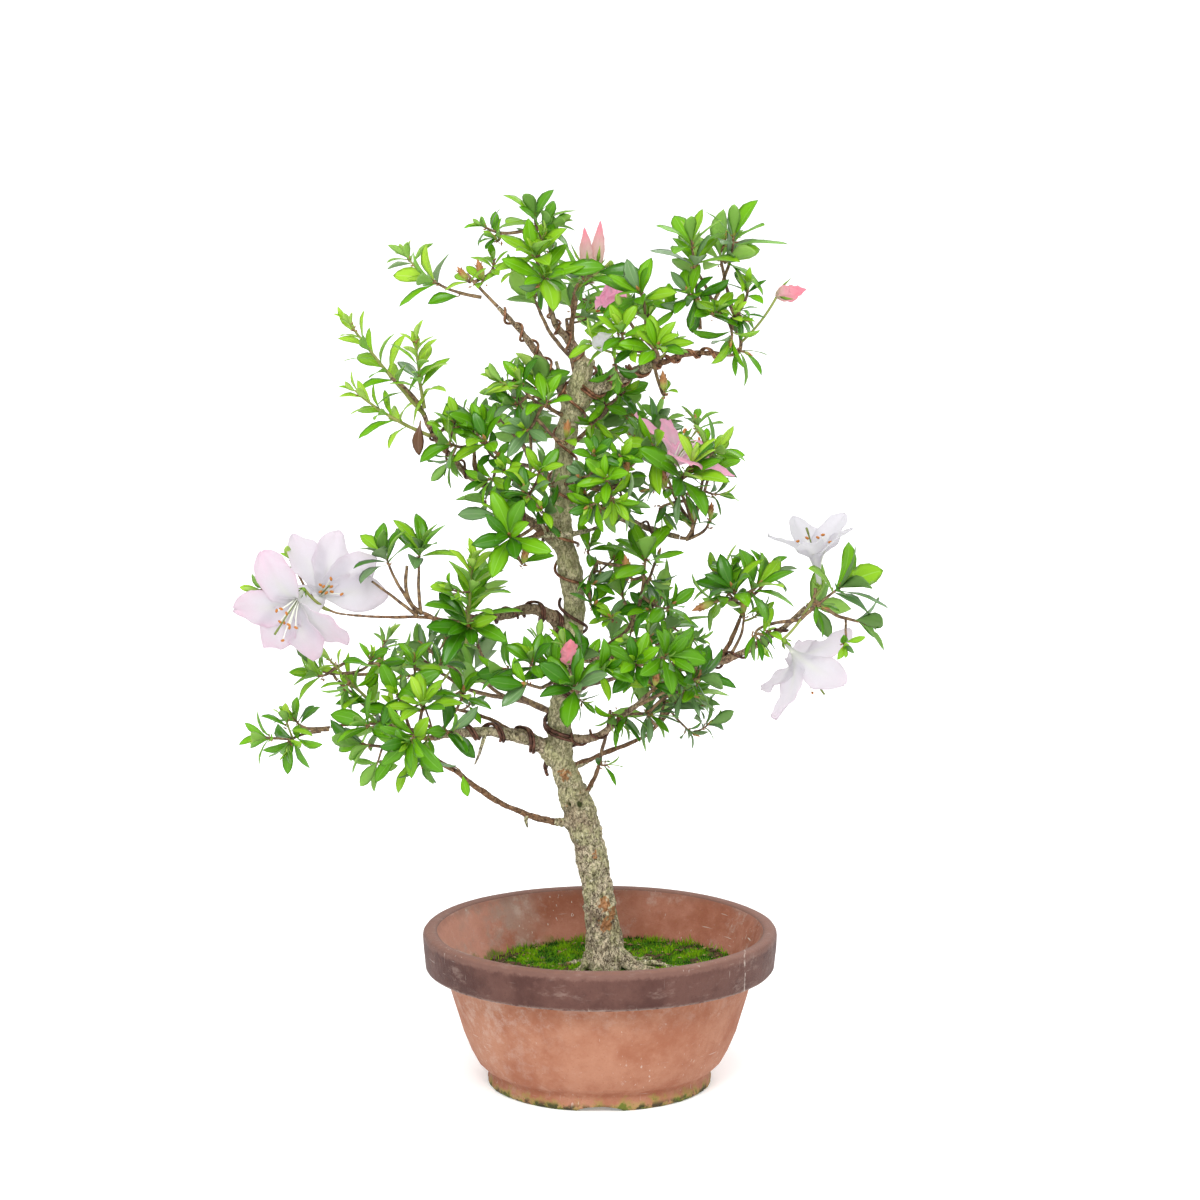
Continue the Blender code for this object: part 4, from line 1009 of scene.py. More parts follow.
# ---- trunk, boughs and bark ----
rootRows = (
    # heading, run out, diameter at the trunk, height it leaves at, how high it arches, width at its end
    (-17, 34, 18, 12, 6.0, 7.0), (-6, 66, 6, 3, 5.0, 2.8), (200, 23, 10, 15, 15.0, 5.4),
    (244, 22, 11, 12, 8.0, 5.6), (-60, 25, 8, 5, 1.0, 3.5), (148, 36, 9, 6, 3.0, 3.0),
    (100, 32, 11, 6, 3.0, 4.0), (44, 44, 9, 5, 3.5, 2.6),
)
barkRelief = {
    "voxel": 0.75, "smoothing": 5, "stretch": 0.42,
    # size and height of each kind of relief
    "lumps": (12, 1.5), "burrs": (5, 0.9), "flakes": (1.8, 1.1), "fissures": (3.2, 0.8), "grain": (0.9, 0.22),
    "spot": 3.4, "dent": 4.0, "holes": ((-13.5, 0.5, 192.5), (-21.0, 1.0, 192.0)),
    "rust": ((-24, -1, 213), (3, -3, 124), (9, 0, 117), (5, -4, 110), (0, -5, 158), (-20, -1, 300)), "knobs": (
        # place, size and height of healed cuts and burrs
        ((-2, -4, 118), 5.0, 2.2), ((-30, 2, 207), 6.0, 2.6), ((6, -2, 152), 4.5, 1.8), ((-28, 3, 198), 5.0, 2.2),
        ((-32, 4, 262), 4.5, 2.0), ((-12, -4, 300), 4.0, 1.8), ((-30, -4, 404), 4.5, 2.2),
        ((-33, 2, 216), 6.0, 2.8), ((-14, -6, 446), 4.0, 1.8), ((-10, 2, 90), 7.0, 2.4),
        ((14, -4, 88), 6.0, 2.0), ((-34, 2, 246), 4.0, 1.5), ((-13, 2, 166), 5.0, 1.6),
        ((8, 4, 138), 4.5, 1.5), ((-30, 0, 236), 4.0, 1.4), ((-5, -4, 178), 4.5, 1.5),
    ),
}
# the height below which the stem keeps to a radius; middle, reach and depth of the neck above
trunkSlim = {"low": 94, "lowRadius": 12.6, "neck": (206, 22, 0.16)}
barkColours = {
    "base": (0.46, 0.36, 0.235), "pale": (0.84, 0.73, 0.52), "deep": (0.070, 0.042, 0.025),
    "lichen": (0.45, 0.47, 0.21), "orange": (0.50, 0.205, 0.070), "purple": (0.27, 0.155, 0.125),
    "white": (0.78, 0.74, 0.60), "moss": (0.085, 0.135, 0.014), "young": (0.245, 0.105, 0.046),
    "cut": (0.50, 0.40, 0.25), "upper": (0.62, 0.60, 0.30), "hollow": (0.045, 0.070, 0.010),
}


def barkHeight(point, radius):
    # how far the bark stands out there, in mm: lumps, flakes and cracks along the grain
    at = point / mm
    long = Vector((at.x, at.y, at.z * barkRelief["stretch"]))

    def bumps(kind, place, shift=(0, 0, 0)):
        return noise.noise(place / barkRelief[kind][0] + Vector(shift))

    out = bumps("lumps", at) * barkRelief["lumps"][1]
    out += bumps("burrs", at, (4, 1, 8)) * barkRelief["burrs"][1]
    out += max(-0.15, bumps("flakes", long, (3, 7, 1))) * barkRelief["flakes"][1]
    out -= (1 - min(1.0, abs(bumps("fissures", long, (9, 2, 4))) * 6)) * barkRelief["fissures"][1]
    out += bumps("grain", long) * barkRelief["grain"][1]
    return out * min(1.0, radius / (9 * mm))


def trunkForms():
    # the trunk, its surface roots, and a collar wherever a limb leaves it
    trunk = limbs["trunk"]
    points, radii = fine(trunk.points, trunk.radii, 3 * mm)
    # the roots carry the flare, so the stem itself stays slim down to the moss
    low, most = trunkSlim["low"] * mm, trunkSlim["lowRadius"] * mm
    radii = [radius if point.z > low else min(radius, most) for point, radius in zip(points, radii)]
    middle, reach, depth = trunkSlim["neck"]
    slim = [1 - depth * math.exp(-(((point.z / mm - middle) / reach) ** 2)) for point in points]
    radii = [radius * share for radius, share in zip(radii, slim)]
    forms = [tube(points, radii, 40)]
    foot = trunk.at(84 * mm)
    for heading, run, diameter, high, arch, end in rootRows:
        count = 14
        path, widths = [], []
        for i in range(count + 1):
            t = i / count
            wave = math.sin(t * 5 + heading) * 5 * t
            out = direction(heading + wave * 2, 0) * (run * t)
            ground = mossHeight(foot.x / mm + out.x, foot.y / mm + out.y)
            height = ground + high * (1 - t) ** 2 + arch * math.sin(math.pi * t) * (1 - t) - 1.6 * t
            path.append(Vector((foot.x + out.x * mm, foot.y + out.y * mm, height * mm)))
            widths.append((diameter + (end - diameter) * t**0.6) / 2 * mm)
        forms.append(tube(path, widths, 14))
    for name, parent, place, *_ in limbRows:
        if parent == "trunk":
            limb = limbs[name]
            path, widths = fine(limb.points[:3], limb.radii[:3], 2 * mm)
            reach = trunk.radiusAt(place * mm) + 9 * mm
            count = max(3, int(reach / (2 * mm)))
            swell = [1.55 - 0.45 * i / count for i in range(count + 1)]
            widths = [width * share for width, share in zip(widths, swell)]
            forms.append(tube(path[: len(widths)], widths, 16))
    return forms


def fused(forms, voxel, smoothing):
    # one skin round overlapping forms, its seams smoothed
    shape = Shape()
    for points, faces in forms:
        shape.add(points, faces)
    mesh = bpy.data.meshes.new("forms")
    mesh.from_pydata(numpy.concatenate(shape.points), [], shape.faces)
    work = linked("forms", mesh)
    remesh = work.modifiers.new("skin", "REMESH")
    remesh.mode = "VOXEL"
    remesh.voxel_size = voxel * mm
    soften = work.modifiers.new("soften", "SMOOTH")
    soften.factor = 0.5
    soften.iterations = smoothing
    skin = bpy.data.meshes.new_from_object(work.evaluated_get(bpy.context.evaluated_depsgraph_get()))
    bpy.data.objects.remove(work)
    points = [Vector(vertex.co) for vertex in skin.vertices]
    normals = [Vector(vertex.normal) for vertex in skin.vertices]
    return points, normals, [tuple(face.vertices) for face in skin.polygons]


def barkLook(name, young):
    # young is the share of brown skin that the bark still has
    look = Look(name, "base", 0.88, shine=0.2, palette=barkColours)
    grain = look.cloud(430, 8, 0.78, (1, 1, 0.62))
    look.colour = look.mix(look.rise(grain, 0.36, 0.56), barkColours["deep"], barkColours["pale"])
    look.paint(0.16, "base")
    look.paint(look.patches(0.53, 0.62, 38, 5, 0.65, shift=3.0) * 0.55, "purple")
    look.paint(look.patches(0.45, 0.57, 70, 7, 0.75, shift=11.0) * max(0.1, 0.48 - young * 0.6), "lichen")
    look.paint(look.patches(0.60, 0.66, 210, 6, 0.75, shift=17.0) * max(0.1, 0.75 - young * 0.9), "white")
    look.paint(look.patches(0.63, 0.68, 44, 5, 0.65, shift=7.0) * 0.7, "orange")
    if young:
        look.paint(young, "young")
    cracks = veins(look, 210, (1, 1, 0.55), 0.022, 5.0) + veins(look, 420, (1, 1, 0.6), 0.026, 8.0) * 0.8
    look.paint(cracks * (0.80 - young * 0.3), "deep")
    if name == "trunkBark":
        height = look.part(2)
        creep = look.cloud(110, 6, 0.7, shift=2.0) * 0.040
        look.paint(look.fall(height - creep, 0.0540, 0.0600) * 0.75, "moss")
        look.paint(look.rise(height, 0.14, 0.24) * 0.40, "upper")
        look.paint(look.rise(look.mark("rust"), 0.3, 0.7) * 0.8, "orange")
        look.paint(look.rise(look.mark("hollow"), 0.35, 0.8) * 0.9, "hollow")
        look.paint(look.rise(height, 0.4935, 0.4945) * 0.8, "cut")
    look.relief(grain + look.cloud(900, 5, 0.7, (1, 1, 0.5)) * 0.5 - cracks * 0.7, 0.0017)
    return look


def makeTrunk():
    relief = barkRelief
    points, normals, faces = fused(trunkForms(), relief["voxel"], relief["smoothing"])
    knobs = [(Vector(place) * mm, size * mm, tall) for place, size, tall in relief["knobs"]]
    made, hollow, rust = [], [], []
    trunk = limbs["trunk"]
    for point, normal in zip(points, normals):
        height = min(max(point.z, 71 * mm), 494 * mm)
        out = barkHeight(point, trunk.radiusAt(height))
        if point.z < 96 * mm:
            out *= 0.55
        for place, size, tall in knobs:
            away = (point - place).length / size
            if away < 1.6:
                out += tall * math.exp(-2.2 * away**2) * (0.8 + 0.5 * noise.noise(point / mm / 1.5))
        deep = 0.0
        for i, place in enumerate(relief["holes"]):
            away = (point - Vector(place) * mm).length / (relief["spot"] * mm) * (1 + 0.5 * i)
            if away < 3:
                out += math.exp(-2.5 * (away - 1.5) ** 2) * 0.9
                deep = max(deep, math.exp(-1.2 * away**2))
        out -= deep * relief["dent"]
        rusty = 0.0
        for place in relief["rust"]:
            away = (point - Vector(place) * mm).length / (relief["spot"] * mm)
            rusty = max(rusty, 1.3 - away * 0.6 + noise.noise(point / mm / 2) * 0.8)
        if point.z > 494 * mm:
            out *= 0.25
        made.append(point + normal * out * mm)
        hollow.append(deep)
        rust.append(min(1.0, max(0.0, rusty)))
    shape = Shape()
    shape.add(made, faces, 0, hollow=hollow, rust=rust)
    shape.piece("trunkBark", [barkLook("trunkBark", 0.0)], "bark", ("trunk",))


def makeBoughs():
    looks = [barkLook("boughBark", 0.15), barkLook("brownBark", 0.5), barkLook("youngBark", 0.82)]
    for name, *_ in limbRows:
        limb = limbs[name]
        points, radii = fine(limb.points, limb.radii, 1.1 * mm)
        sides = 24 if radii[0] > 3.4 * mm else 14
        for i, point in enumerate(points):
            sway = noise.noise_vector(point / mm / 16) * 1.1 + noise.noise_vector(point / mm / 7) * 0.5
            points[i] = point + sway * mm * min(1.0, i / 12, (len(points) - 1 - i) / 12)
        rng = random.Random(name)
        long = limb.lengths[-1]
        joints = [rng.uniform(0.1, 0.95) * long for _ in range(round(long / (22 * mm)))]
        walked = 0.0
        widths = []
        for i, radius in enumerate(radii):
            if i:
                walked += (points[i] - points[i - 1]).length
            swell = sum(math.exp(-(((walked - joint) / (2.6 * mm)) ** 2)) for joint in joints)
            widths.append(radius * (1 + 0.13 * min(swell, 1.3) + 0.35 * math.exp(-walked / (7 * mm))))
        skin = tube(points, widths, sides, lambda point, radius: barkHeight(point, radius * 1.5) * mm * 0.8)
        shape = Shape()
        shape.add(*skin)
        look = looks[(limb.radii[0] < 5.2 * mm) + (limb.radii[0] < 2.6 * mm)]
        shape.piece("bark_" + name, [look], "bough_bark", ("bough_" + name,))


makeTrunk()
makeBoughs()
print("trunk and boughs")


# ---- dead wood ----
# points, radii
deadRows = (
    (
        ((-57, -17, 372), (-46, -16, 376), (-36, -14.5, 379), (-17, -14, 380), (0, 0, 382)),
        (1.3, 1.6, 1.7, 1.8, 1.6),
    ),
    (((-36, -14.5, 379), (-38, -19, 386), (-44, -20, 391)), (1.0, 0.8, 0.4)),
    (((-48, 6.4, 184.2), (-50, 5.2, 181), (-49, 4.4, 175.5)), (1.5, 1.3, 0.5)),
    (((-24, -2, 479), (-27, -5, 487), (-29, -6, 494)), (2.2, 1.6, 1.1)),
    (((-77, -10, 243), (-81, -13, 230), (-84, -14, 223)), (1.6, 1.1, 0.5)),
)


def makeDeadWood():
    look = barkLook("deadWood", 0.0)
    shape = Shape()
    for points, radii in deadRows:
        path, widths = fine([Vector(point) * mm for point in points], [radius * mm for radius in radii], 1 * mm)
        shape.add(*tube(path, widths, 12, lambda point, radius: barkHeight(point, radius * 3) * mm * 0.7))
    shape.piece("deadWood", [look], "bough_bark")


makeDeadWood()


# ---- training wire ----
wireSizes = {"pointsATurn": 26, "sides": 8, "lift": 0.25, "sway": 1.6, "swell": 2.3, "swellAt": 230.0}
# name, node, limb, stretch, turns (below 0: the other way round), diameter, first angle, tone, twins
wireRows = (
    ("trunkWire", "wire_trunk", "trunk", 330, 362, -1.1, 2.1, 40, "copper", 1),
    ("trunkWireUpper", None, "trunk", 366, 492, -4.2, 2.0, 300, "copper", 1),
    ("trunkWireMiddle", None, "trunk", 286, 332, -1.4, 2.2, 200, "dark", 1),
    ("trunkWireLower", None, "trunk", 215, 284, -2.35, 2.4, 110, "dark", 2),
    ("midLeftWire", "wire_mid_left", "mid_left", 30, 50, 1.2, 2.0, 0, "dark", 2),
    ("midLeftWireRoot", None, "mid_left", 4, 28, 1.3, 2.0, 200, "dark", 2),
    ("midLeftWireOuter", None, "mid_left", 54, 80, 1.6, 1.8, 40, "dark", 1),
    ("lowerLeftWire", "wire_lower_left", "lower_left", 42, 80, 2.1, 2.2, 0, "dark", 2),
    ("lowerLeftWireRoot", None, "lower_left", 9, 38, 1.36, 2.2, 229, "dark", 2),
    ("highLeftWire", None, "high_left", 8, 82, 4.6, 1.9, 30, "copper", 1),
    ("highRightWire", None, "high_right", 8, 63, 3.2, 2.1, 200, "copper", 2),
    ("highOuterWire", None, "high_right_outer", 6, 64, 4.2, 1.6, 80, "copper", 2),
    ("leftLongWire", None, "left_long", 14, 122, 6.4, 1.8, 60, "dark", 1),
    ("midRightWire", None, "mid_right", 8, 76, 4.4, 1.7, 160, "dark", 1),
    ("rightWire", None, "right", 14, 152, 8.2, 1.9, 20, "dark", 1),
    ("apexWire", None, "apex", 8, 46, 3.1, 1.7, 120, "copper", 1),
    ("lowerRightWire", None, "lower_right", 12, 60, 2.8, 1.8, 300, "dark", 1),
)
wireColours = {
    # plain, dark and pale
    "copper": ((0.225, 0.092, 0.044), (0.085, 0.038, 0.024), (0.46, 0.235, 0.13)),
    "dark": ((0.100, 0.042, 0.028), (0.036, 0.019, 0.015), (0.230, 0.105, 0.070)),
}


def wirePath(limb, start, end, turns, diameter, first, twin):
    # a helix round the limb, its turns a little uneven; a twin lies beside the first wire
    count = round(abs(turns) * wireSizes["pointsATurn"])
    even = [start + (end - start) * i / count for i in range(count + 1)]
    path = []
    for i, (_, _, across, other) in enumerate(frames([limb.at(place * mm) for place in even])):
        t = i / count
        sway = noise.noise(Vector((t * abs(turns) * 0.9, start, 2))) * wireSizes["sway"]
        sway *= min(1.0, t * 6, 6 - t * 6)
        place = min(start + (end - start) * t + sway + twin * (diameter + 0.15), end)
        radius = limb.radiusAt(place * mm) * 1.06 + (diameter / 2 + wireSizes["lift"] + 0.3) * mm
        radius += noise.noise(Vector((i * 0.07, turns, start + twin))) * 0.45 * mm
        if limb is limbs["trunk"]:
            radius += wireSizes["swell"] * mm * math.exp(-(((place - wireSizes["swellAt"]) / 11) ** 2))
        turn = math.radians(first) + math.copysign(2 * math.pi * i / wireSizes["pointsATurn"], turns)
        path.append(limb.at(place * mm) + (across * math.cos(turn) + other * math.sin(turn)) * radius)
    return path


def makeWires():
    looks = {}
    for tone, (plain, dark, pale) in wireColours.items():
        look = Look(tone + "Wire", plain, 0.42, metallic=0.7)
        worn = look.cloud(260, 5, 0.65)
        look.colour = look.mix(look.rise(worn, 0.40, 0.62), dark, pale)
        look.paint(0.35, plain)
        look.set(Roughness=0.34 + worn * 0.3)
        look.relief(worn, 0.0003)
        looks[tone] = look
    for name, node, limb, *sizes, tone, twins in wireRows:
        shape = Shape()
        for twin in range(twins):
            path = wirePath(limbs[limb], *sizes, twin)
            shape.add(*tube(path, [sizes[3] / 2 * mm] * len(path), wireSizes["sides"]))
        shape.piece(name, [looks[tone]], "wire", (node,) if node else ())


makeWires()
print("wire")


# ---- twigs and leaves ----
# by mass: tip, heading (turn in the front plane, lean forward), leaves, their length, tone, and
# where they differ from a whorl on the nearest wood, habit and start
# leaders deep inside the crown often take the deep tone, partly darker leaves and partly painted shade
leaderRows = {
    "apex": (
        ((-43, -12, 590), (100, 5), 8, 35, "bright", "whorl", (-39, -9, 542)),
        ((-37, -20, 586), (55, 15), 6, 31, "bright"), ((-42, -34, 567), (98, 30), 8, 34, "bright"),
        ((-36, -40, 553), (75, 45), 8, 35, "bright"), ((-27, -40, 557), (12, 10), 1, 31, "bright", "leaf"),
        ((-38, -24, 547), (200, 40), 5, 24, "deep"), ((-77, 0, 583), (150, 10), 5, 19, "grey"),
        ((-68, -4, 574), (125, 20), 7, 22, "mixed"), ((-58, -8, 556), (140, 20), 5, 19, "mixed"),
    ),
    "high_left": (
        ((-111, -14, 549), (150, 10), 7, 36, "fresh", "whorl", (-78, -10, 537)),
        ((-93, -14, 538), (193, 5), 1, 21, "mixed", "leaf"), ((-70, -4, 560), (100, 20), 5, 19, "grey"),
        ((-87, -22, 550), (125, 25), 3, 20, "fresh", "bud"), ((-77, -14, 550), (105, 20), 3, 18, "fresh", "bud"),
    ),
    "left_shoot": (
        ((-164, -14, 519), (128, 12), 17, 33, "fresh", "stem", (-116, -10, 459)),
        ((-121, -20, 509), (93, 10), 16, 30, "fresh", "stem", (-116, -16, 464)),
        ((-160, -24, 476), (140, 15), 14, 30, "fresh", "stem", (-112, -18, 446)),
        ((-118, -26, 456), (268, 12), 1, 22, "dull", "leaf"), ((-101, -16, 454), (70, 20), 4, 25, "bright"),
    ),
    "mid_left_outer": (
        ((-75, -44, 447), (110, 40), 7, 30, "mixed"), ((-68, -30, 434), (60, 45), 5, 19, "mixed"),
        ((-74, -40, 420), (170, 30), 7, 24, "mixed"),
    ),
    "mid_left_upper": (
        ((-52, -34, 484), (115, 20), 4, 28, "bright", "whorl", (-46, -26, 472)),
        ((-57, -32, 469), (150, 35), 7, 26, "deep"), ((-34, -40, 472), (85, 25), 5, 27, "mixed"),
        ((-49, -46, 454), (120, 60), 7, 27, "grey"), ((-22, -38, 448), (85, 25), 2, 20, "mixed", "bud"),
    ),
    "mid_left_inner": (
        ((-59, -70, 388), (95, 62), 9, 33, "deep"), ((-39, -60, 430), (80, 50), 6, 25, "mixed"),
        ((-49, -50, 412), (200, 40), 6, 24, "deep"), ((-62, -50, 428), (120, 45), 6, 20, "mixed"),
        ((-50, -56, 368), (80, 30), 2, 22, "mixed", "bud"),
    ),
    "left_twigs": (
        ((-142, -22, 366), (108, 10), 11, 33, "mixed", "whorl", (-121, -16, 326)),
        ((-119, -24, 371), (82, 10), 11, 34, "mixed", "whorl", (-119, -18, 326)),
        ((-150, -26, 349), (150, 0), 0, 10, "mixed", "twig", (-121, -20, 325)),
    ),
    "left_near": (
        ((-83, -66, 370), (84, 12), 24, 38, "bright", "stem", (-88, -50, 313)),
        ((-86, -62, 326), (90, 62), 8, 37, "deep"),
    ),
    "left_blossoms": (
        ((-204, -24, 363), (115, 10), 2, 24, "bright"), ((-224, -30, 345), (180, 10), 1, 24, "bright"),
    ),
    "lower_left_back": (
        ((-180, -16, 295), (132, 15), 15, 31, "bright", "stem", (-136, -12, 249)),
        ((-152, -24, 298), (80, 25), 6, 19, "bright"), ((-190, -14, 284), (155, 20), 7, 27, "bright"),
        ((-170, -20, 276), (235, 20), 6, 26, "mixed"), ((-146, -32, 293), (250, 45), 6, 26, "mixed"),
    ),
    "lower_left_inner": (
        ((-124, -12, 294), (92, 20), 8, 25, "mixed", "whorl", (-126, -9, 266)),
        ((-106, 4, 290), (60, 20), 6, 24, "mixed"),
    ),
    "lower_left_front": (
        ((-134, -48, 278), (110, 60), 4, 34, "deep"), ((-116, -66, 275), (90, 30), 10, 28, "bright"),
        ((-124, -76, 253), (215, 58), 11, 34, "mixed"), ((-117, -54, 235), (262, 25), 7, 29, "deep"),
        ((-126, -50, 232), (250, 5), 1, 22, "mixed", "leaf"), ((-111, -50, 230), (275, 5), 1, 24, "bright", "leaf"),
        ((-91, -46, 223), (285, 5), 1, 15, "mixed", "leaf"), ((-134, -50, 238), (232, 10), 1, 24, "bright", "leaf"),
        ((-98, -58, 255), (20, 45), 6, 30, "deep"), ((-91, -30, 276), (80, 30), 6, 25, "mixed"),
    ),
    "lower_left_tip": (
        ((-205, 0, 252), (110, 20), 9, 22, "mixed", "whorl", (-182, 0, 244)),
        ((-208, -14, 238), (245, 45), 9, 28, "bright", "whorl", (-187, -10, 245)),
        ((-225, -6, 240), (175, 15), 7, 27, "bright"),
    ),
    "lower_centre": (
        ((-17, -92, 293), (105, 42), 10, 34, "deep"), ((-45, -70, 304), (105, 30), 8, 28, "mixed"),
        ((-64, -56, 297), (170, 30), 7, 28, "deep"), ((2, -80, 302), (20, 50), 7, 28, "mixed"),
    ),
    "right_knot": (
        ((30, -26, 366), (88, 15), 7, 42, "bright", "whorl", (26, -18, 332)),
        ((-7, -12, 371), (60, 30), 6, 22, "mixed"), ((-6, -14, 346), (30, 30), 6, 23, "deep"),
        ((-4, -12, 331), (60, 30), 7, 21, "mixed"), ((34, -18, 349), (330, 20), 5, 26, "deep"),
        ((47, -24, 333), (45, 30), 7, 26, "bright"), ((34, -18, 328), (140, 35), 6, 24, "mixed"),
        ((8, -20, 324), (130, 40), 6, 18, "grey"), ((0, -10, 353), (280, 20), 4, 19, "deep", "droop"),
        ((19, -30, 355), (100, 20), 2, 20, "mixed", "bud"),
    ),
    "lower_right_inner": (
        ((23, -72, 304), (100, 55), 8, 29, "mixed"), ((44, -70, 308), (20, 50), 9, 33, "deep"),
        ((36, -60, 287), (80, 40), 3, 20, "mixed", "bud"),
        ((66, -46, 289), (15, 15), 8, 33, "mixed", "whorl", (26, -34, 268)),
    ),
    "lower_right_low": (
        ((34, -20, 258), (325, 15), 9, 27, "deep", "droop"), ((61, -30, 275), (330, 20), 5, 24, "deep", "droop"),
        ((14, -22, 254), (290, 25), 7, 24, "mixed", "droop"), ((8, -24, 258), (250, 30), 6, 24, "mixed"),
        ((64, -38, 284), (80, 25), 3, 20, "deep", "bud"),
    ),
    "low_spray": (
        ((4, -10, 222), (20, 10), 3, 19, "mixed", "droop"),
    ),
    "right_upper": (
        ((88, -26, 345), (110, 25), 8, 33, "mixed"), ((104, -22, 346), (50, 20), 8, 38, "mixed"),
        ((75, -16, 334), (200, 15), 3, 29, "mixed", "bud"),
        ((96, -14, 327), (95, 15), 2, 20, "mixed", "bud", (85, -10, 294)),
    ),
    "right_outer": (
        ((159, -22, 345), (32, 12), 8, 46, "bright", "whorl", (133, -16, 322)),
        ((147, -20, 332), (345, 15), 4, 23, "mixed", "droop"),
        ((104, -34, 312), (300, 25), 7, 24, "mixed", "droop"), ((111, -36, 318), (70, 40), 2, 26, "bright"),
    ),
    "high_right_inner": (
        ((14, -50, 519), (92, 30), 8, 27, "bright"), ((37, -56, 510), (70, 45), 10, 30, "bright"),
        ((-6, -42, 511), (160, 35), 4, 24, "bright"), ((26, -30, 543), (120, 35), 8, 32, "mixed"),
        ((11, -44, 492), (280, 40), 5, 24, "deep"), ((42, -44, 480), (95, 20), 2, 20, "mixed", "bud"),
    ),
    "high_right_outer": (
        ((60, -16, 575), (98, 8), 7, 34, "grey", "whorl", (66, -12, 516)),
        ((62, -20, 558), (88, 15), 7, 37, "grey"), ((88, -8, 577), (85, 8), 7, 38, "grey", "whorl", (73, -8, 530)),
        ((83, -16, 561), (40, 20), 6, 38, "grey"), ((63, -30, 537), (300, 45), 7, 28, "deep"),
        ((58, -24, 541), (110, 25), 7, 25, "mixed"), ((46, -24, 531), (120, 35), 7, 24, "mixed"),
        ((76, -30, 529), (60, 30), 7, 25, "mixed"), ((88, -28, 527), (80, 35), 7, 22, "fresh"),
        ((97, -24, 545), (90, 25), 7, 23, "mixed"), ((93, -26, 525), (340, 15), 9, 20, "mixed", "droop"),
        ((86, -34, 512), (260, 30), 6, 28, "mixed"), ((95, -20, 502), (335, 10), 4, 26, "mixed", "droop"),
    ),
    "apex_right": (
        ((-6, -14, 551), (343, 10), 1, 34, "deep", "leaf"), ((-2, -8, 553), (3, 5), 1, 30, "mixed", "leaf"),
        ((-12, -10, 546), (230, 20), 5, 20, "deep"),
    ),
    "mid_right_upper": (
        ((3, -2, 466), (120, 50), 6, 25, "deep"), ((16, 6, 472), (40, 45), 6, 24, "deep"),
        ((-6, -8, 452), (220, 50), 6, 20, "bright"),
    ),
    "mid_right_outer": (
        ((55, -54, 426), (60, 38), 11, 38, "bright"), ((34, -40, 443), (150, 40), 6, 32, "mixed"),
        ((40, -14, 394), (300, 20), 5, 24, "mixed", "droop"), ((60, -60, 434), (78, 15), 7, 33, "bright"),
        ((76, -40, 440), (30, 25), 7, 30, "bright"), ((43, -40, 416), (100, 30), 3, 20, "mixed", "bud"),
        ((59, -36, 409), (340, 20), 8, 25, "mixed", "droop"),
        ((73, -14, 390), (85, 10), 1, 18, "mixed", "bud", (57, -10, 375)),
        ((62, -18, 390), (90, 10), 3, 22, "mixed", "bud", (57, -14, 376)),
    ),
    "mid_centre": (
        ((4, -70, 426), (110, 55), 8, 23, "mixed"), ((9, -66, 410), (320, 50), 7, 22, "deep"),
        ((-7, -60, 406), (200, 50), 7, 21, "deep"), ((-4, -64, 441), (90, 50), 7, 20, "deep"),
        ((14, -58, 438), (60, 45), 7, 20, "mixed"), ((-12, -54, 424), (150, 45), 6, 19, "deep"),
        ((-4, -50, 428), (95, 20), 2, 17, "mixed", "bud"), ((16, -50, 423), (80, 20), 2, 17, "mixed", "bud"),
    ),
}
sprays = {
    "tipGap": 12.0, "openGap": 24.0, "layers": (0.94, 0.72, 0.48), "reachLeaf": 0.50, "longest": 46.0,
    "shortest": 6.0, "margin": 0.8, "edge": 1.12, "leader": 0.95, "side": 0.72, "tooFew": 3,
    "near": 44.0, "most": 9000, "top": 0.98, "span": 1.72,
}
leafSizes = {
    "side": (15.0, 27.0), "young": (8.0, 16.0), "thickness": 0.32, "rib": 0.055, "arch": 0.24,
    # place along a leaf and its width there
    "outline": ((0.07, 0.12), (0.20, 0.40), (0.38, 0.80), (0.56, 1.0), (0.75, 0.86), (0.90, 0.46)),
    "widths": {"young": 0.30, "narrow": 0.21, "plain": 0.36},
}
leafTones = {
    # share of each colour among the leaves of a spray
    "bright": (("young", 0.07), ("bright", 0.36), ("fresh", 0.29), ("mid", 0.20), ("deep", 0.08)),
    "fresh": (("young", 0.40), ("bright", 0.38), ("fresh", 0.16), ("grey", 0.06)),
    "mixed": (("young", 0.03), ("bright", 0.17), ("fresh", 0.27), ("mid", 0.30), ("deep", 0.17), ("grey", 0.06)),
    "deep": (("bright", 0.05), ("fresh", 0.15), ("mid", 0.33), ("deep", 0.35), ("grey", 0.12)),
    "grey": (("young", 0.08), ("bright", 0.36), ("fresh", 0.20), ("mid", 0.09), ("grey", 0.27)),
    "dull": (("dull", 1.0),),
}
# top, midrib and underside
leafColours = {
    "young": ((0.37, 0.58, 0.045), (0.46, 0.62, 0.13), (0.43, 0.59, 0.14)),
    "bright": ((0.255, 0.485, 0.018), (0.31, 0.54, 0.07), (0.33, 0.53, 0.12)),
    "fresh": ((0.172, 0.425, 0.006), (0.23, 0.50, 0.04), (0.28, 0.49, 0.10)),
    "mid": ((0.105, 0.315, 0.004), (0.16, 0.39, 0.03), (0.23, 0.42, 0.09)),
    "deep": ((0.050, 0.205, 0.002), (0.095, 0.26, 0.025), (0.17, 0.32, 0.08)),
    # grey-green leaves: a dull green with a painted whitish sheen in its colour
    "grey": ((0.155, 0.29, 0.105), (0.22, 0.35, 0.15), (0.27, 0.39, 0.19)),
    "dull": ((0.150, 0.075, 0.040), (0.22, 0.13, 0.08), (0.20, 0.14, 0.09)),
}
twigColours = {
    "brown": (0.165, 0.085, 0.040), "green": (0.235, 0.250, 0.060), "scale": (0.31, 0.150, 0.055),
}
budColours = {"green": (0.27, 0.32, 0.050), "ripe": (0.36, 0.15, 0.045)}


